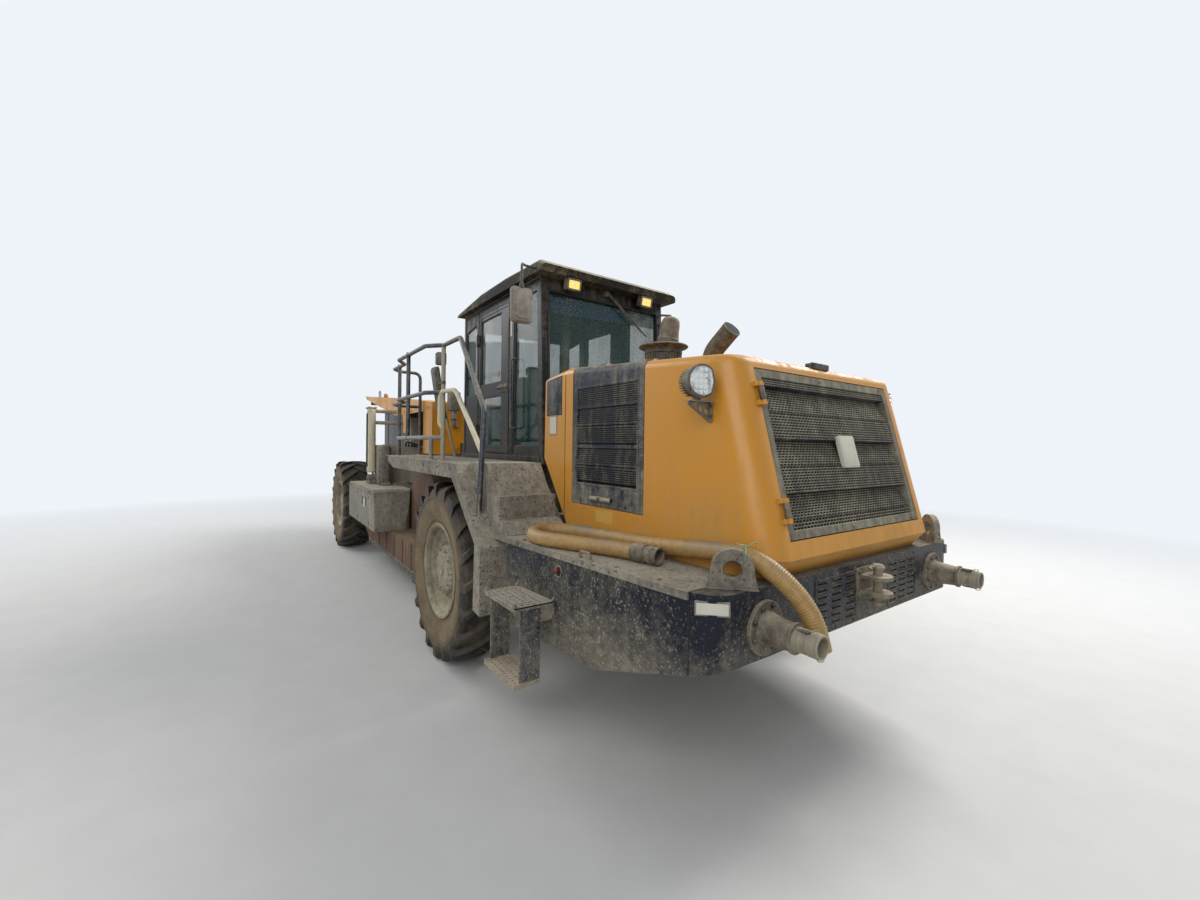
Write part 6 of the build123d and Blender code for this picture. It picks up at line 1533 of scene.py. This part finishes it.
# Tail: beacons and bent rods, lamps, silver elbow with its box, and a brace
TAIL_Y, ROD_Y, BEACON_AT = 0.9, 0.7, (-4.62, 0.56)
tail = Piece("tail_fittings", "chassis", "black_plastic", PLASTIC, sharp=35)
for side in (-1, 1):
    rod = [(-4.56, side * ROD_Y, 2.79), (-4.56, side * ROD_Y, 2.9), (-4.48, side * ROD_Y, 2.93),
        (-4.42, side * ROD_Y, 2.86), (-4.42, side * ROD_Y, 2.77)]
    tail.use(DARK_STEEL).bent(rod, 0.04, 0.009, 12)
    tail.use(PLASTIC).turned([(2.772, 0.0), (2.772, 0.048), (2.79, 0.048), (2.794, 0.042), (2.82, 0.042),
        (2.82, 0.0)], (BEACON_AT[0], side * BEACON_AT[1], 0), "z", 28)
    tail.use(BEACON).turned([(2.818, 0.041), (2.86, 0.04), (2.882, 0.032), (2.892, 0.016), (2.894, 0.0)],
        (BEACON_AT[0], side * BEACON_AT[1], 0), "z", 28)
    rear = Matrix(((0, 0, -1, -4.768), (-1, 0, 0, side * 0.74), (0, 1, 0, 2.7), (0, 0, 0, 1)))
    tail.use(PLASTIC).panel((-0.07, -0.045), (0.07, 0.045), 0.012, 3, -0.02, 0.012, 0.004, 2, rear)
    tail.use(BEACON).panel((-0.06, -0.036), (0.0, 0.036), 0.008, 3, 0.01, 0.016, 0.002, 1, rear)
    tail.use(RED_PLUG).panel((0.004, -0.036), (0.06, 0.036), 0.008, 3, 0.01, 0.016, 0.002, 1, rear)
    elbow = [(-0.4, side * 0.6, 2.12), (-0.33, side * 0.64, 2.14), (-0.3, side * 0.66, 2.24),
        (-0.3, side * 0.66, 2.33)]
    tail.use(ALUMINIUM).bent(elbow, 0.06, 0.034, 20)
    box(tail.use(CLEANER), (-0.36, -0.24), (side * 0.59, side * 0.73), (2.32, 2.56), 0.012, 3)
    tail.use(DARK_STEEL).turned([(2.2, 0.0345), (2.2, 0.039), (2.216, 0.039), (2.216, 0.0345)],
        (-0.3, side * 0.66, 0), "z", 24)
    tail.use(CREAM).tube([(1.225, side * 1.29, 2.29), (0.76, side * 1.01, 1.76)], 0.014, 14)
    for span in ((-1.56, -1.554), (-3.0, -2.994)):
        side_strip(tail, SEAM, side, TAIL_Y, span, (2.33, 2.52), (-0.001, 0.0008), 0, 1)
    wall_bolts(tail, STEEL, side, TAIL_Y, (-0.6, -1.0, -1.4, -1.8, -2.2), (2.365,), 0.009, 0.006)
# Tanks under the cover: straps, gauge, drain caps and hoses; the hitch plate's bolts
TANK_HALF, TANK_LOW, TANK_REAR, TANK_FRONT, HITCH_X = 0.6, 1.345, -4.56, -2.76, -4.66
for x in (TANK_REAR + 0.35, TANK_FRONT - 0.35):
    for side in (-1, 1):
        side_strip(tail, STEEL, side, TANK_HALF, (x - 0.03, x + 0.03), (TANK_LOW, 2.56), (-0.001, 0.006),
            0.002, 1)
        wall_bolts(tail, DARK_STEEL, side, TANK_HALF, (x,), (TANK_LOW + 0.08, 2.5), 0.012, 0.01, 0.006)
rear_wall = Matrix(((0, 0, -1, TANK_REAR), (-1, 0, 0, 0), (0, 1, 0, 0), (0, 0, 0, 1)))
for z in (1.56, 2.45):
    tail.use(STEEL).block((-0.545, z, -0.001), (0.545, z + 0.05, 0.006), 0.002, 1, rear_wall)
    row = (-0.48, -0.16, 0.16, 0.48)
    bolts(tail.use(DARK_STEEL), (-4.566,), row, (z + 0.025,), (-1, 0, 0), 0.012, 0.01)
bolts(tail, (HITCH_X,), (-0.58, -0.3, 0.3, 0.58), (1.02, 1.34), (-1, 0, 0), 0.016, 0.014)
tail.use(PLASTIC).panel((-0.06, 1.76), (0.06, 2.26), 0.02, 3, -0.001, 0.012, 0.004, 2, rear_wall)
tail.use(LENS).panel((-0.018, 1.8), (0.018, 2.22), 0.016, 3, 0.011, 0.015, 0.002, 1, rear_wall)
for y in (-0.42, 0.42):
    tail.use(DARK_STEEL).turned([(-0.001, 0.0), (-0.001, 0.052), (0.014, 0.052), (0.018, 0.04),
        (0.04, 0.036), (0.044, 0.03), (0.044, 0.0)], (y, 1.42, 0.0), "z", 28, rear_wall)
for k in range(5):
    y = -0.36 + 0.18 * k
    tail.use(RUBBER).bent([(-0.405, y, 1.86), (-0.2, y + 0.03, 1.88), (-0.02, y, 1.8), (0.2, y, 1.79)], 0.1,
        0.016, 12)
tail.done()

# Plain materials on the solids that show as they are
LOOKS = {"hood": YELLOW, "tail_cover": YELLOW, "hood_door_right": DOOR_NAVY, "hood_door_left": DOOR_NAVY,
    "front_bumper": NAVY, "front_deck": DECK, "lifting_lugs": STEEL, "tow_clevis": STEEL,
    "hose_ports": STEEL, "main_frame": FRAME, "mast_columns": PALE, "engine_block": STEEL, "cab_floor": CAB,
    "cab_side_right": CAB, "cab_side_left": CAB, "cab_front": CAB, "cab_rear": CAB, "cab_glass": GLASS,
    "cab_door_right": CAB, "cab_door_left": CAB, "door_glass_right": GLASS, "door_glass_left": GLASS,
    "cab_roof": ROOF, "driver_seat": SEAT, "steering_console": PLASTIC, "platforms": DECK, "ladders": DECK,
    "handrails": RAIL, "mirrors": MIRROR_BACK, "lamps": PLASTIC, "exhaust_pipe": EXHAUST,
    "air_cleaner": PLASTIC, "side_pods": GREY, "drum_housing": RUST, "milling_drum": DRUM,
    "front_flap": RUST, "rear_flap": RUST, "flap_hinges": STEEL, "lift_cylinders": PALE,
    "lift_rods": CHROME, "axles": FRAME, "tanks": NAVY, "tail_frame": FRAME, "knuckle_front_right": FRAME,
    "knuckle_front_left": FRAME, "knuckle_rear_right": FRAME, "knuckle_rear_left": FRAME}
for node, material in LOOKS.items():
    mesh = nodes[node].data
    if mesh.materials:
        for index in range(len(mesh.materials)):
            mesh.materials[index] = material
    else:
        mesh.materials.append(material)


# Stage: floor, lights, sky
BACKDROP = (0.86, 0.9, 0.95, 1)


def stage():
    floor_mesh = bpy.data.meshes.new("floor")
    reach = 90
    floor_mesh.from_pydata([(-reach, -reach, 0), (reach, -reach, 0), (reach, reach, 0), (-reach, reach, 0)],
        [], [(0, 1, 2, 3)])
    floor = bpy.data.objects.new("floor", floor_mesh)
    bpy.context.scene.collection.objects.link(floor)
    s = Shader("floor_pale")
    speck = s.noise(3, 5, 0.6)
    distance = s.node("ShaderNodeVectorMath", operation="LENGTH")
    s.feed(distance.inputs[0], s.place)
    # Far from the object the floor fades into the backdrop
    far = s.span(distance.outputs["Value"], 5.5, 15.0)
    rays = s.node("ShaderNodeLightPath")
    seen = s.math("MAXIMUM", s.math("MAXIMUM", rays.outputs["Is Camera Ray"],
        rays.outputs["Is Glossy Ray"]), rays.outputs["Is Transmission Ray"])
    near = s.blend(speck, rgb("C4C2BD"), rgb("D0CEC9"))
    s.base.inputs["Emission Color"].default_value = BACKDROP
    s.feed(s.base.inputs["Emission Strength"], s.math("MULTIPLY", far, seen))
    s.base.inputs["Specular IOR Level"].default_value = 0.0
    floor_mesh.materials.append(s.finish(s.blend(far, near, (0, 0, 0, 1)), 1.0))
    # Each lamp: name, place, aim, size, power
    lamps = (
        ("key", (4.0, 9.0, 11.0), (0.5, 0, 1), 6.0, 1900),
        ("fill", (9.0, -9.0, 7.0), (1.0, 0, 1), 9.0, 620),
        ("back", (-9.0, -6.0, 9.0), (-1.0, 0, 1), 8.0, 700),
    )
    for name, place, aim, size, power in lamps:
        light = bpy.data.lights.new(name, "AREA")
        light.size = size
        light.energy = power
        lamp = bpy.data.objects.new(name, light)
        lamp.location = place
        lamp.rotation_euler = (Vector(aim) - Vector(place)).to_track_quat("-Z", "Y").to_euler()
        bpy.context.scene.collection.objects.link(lamp)
    world = bpy.data.worlds.new("world")
    bpy.context.scene.world = world
    world.use_nodes = True
    tree = world.node_tree
    tree.nodes.clear()
    out = tree.nodes.new("ShaderNodeOutputWorld")
    ambient = tree.nodes.new("ShaderNodeBackground")
    ambient.inputs["Color"].default_value = (0.8, 0.88, 1.0, 1)
    ambient.inputs["Strength"].default_value = 0.45
    seen = tree.nodes.new("ShaderNodeBackground")
    seen.inputs["Color"].default_value = BACKDROP
    seen.inputs["Strength"].default_value = 1.0
    rays = tree.nodes.new("ShaderNodeLightPath")
    either = tree.nodes.new("ShaderNodeMath")
    either.operation = "MAXIMUM"
    both = tree.nodes.new("ShaderNodeMath")
    both.operation = "MAXIMUM"
    tree.links.new(rays.outputs["Is Camera Ray"], either.inputs[0])
    tree.links.new(rays.outputs["Is Glossy Ray"], either.inputs[1])
    tree.links.new(either.outputs[0], both.inputs[0])
    tree.links.new(rays.outputs["Is Transmission Ray"], both.inputs[1])
    mixed = tree.nodes.new("ShaderNodeMixShader")
    tree.links.new(both.outputs[0], mixed.inputs[0])
    tree.links.new(ambient.outputs[0], mixed.inputs[1])
    tree.links.new(seen.outputs[0], mixed.inputs[2])
    tree.links.new(mixed.outputs[0], out.inputs[0])
    bpy.context.scene.view_settings.view_transform = "Standard"


stage()
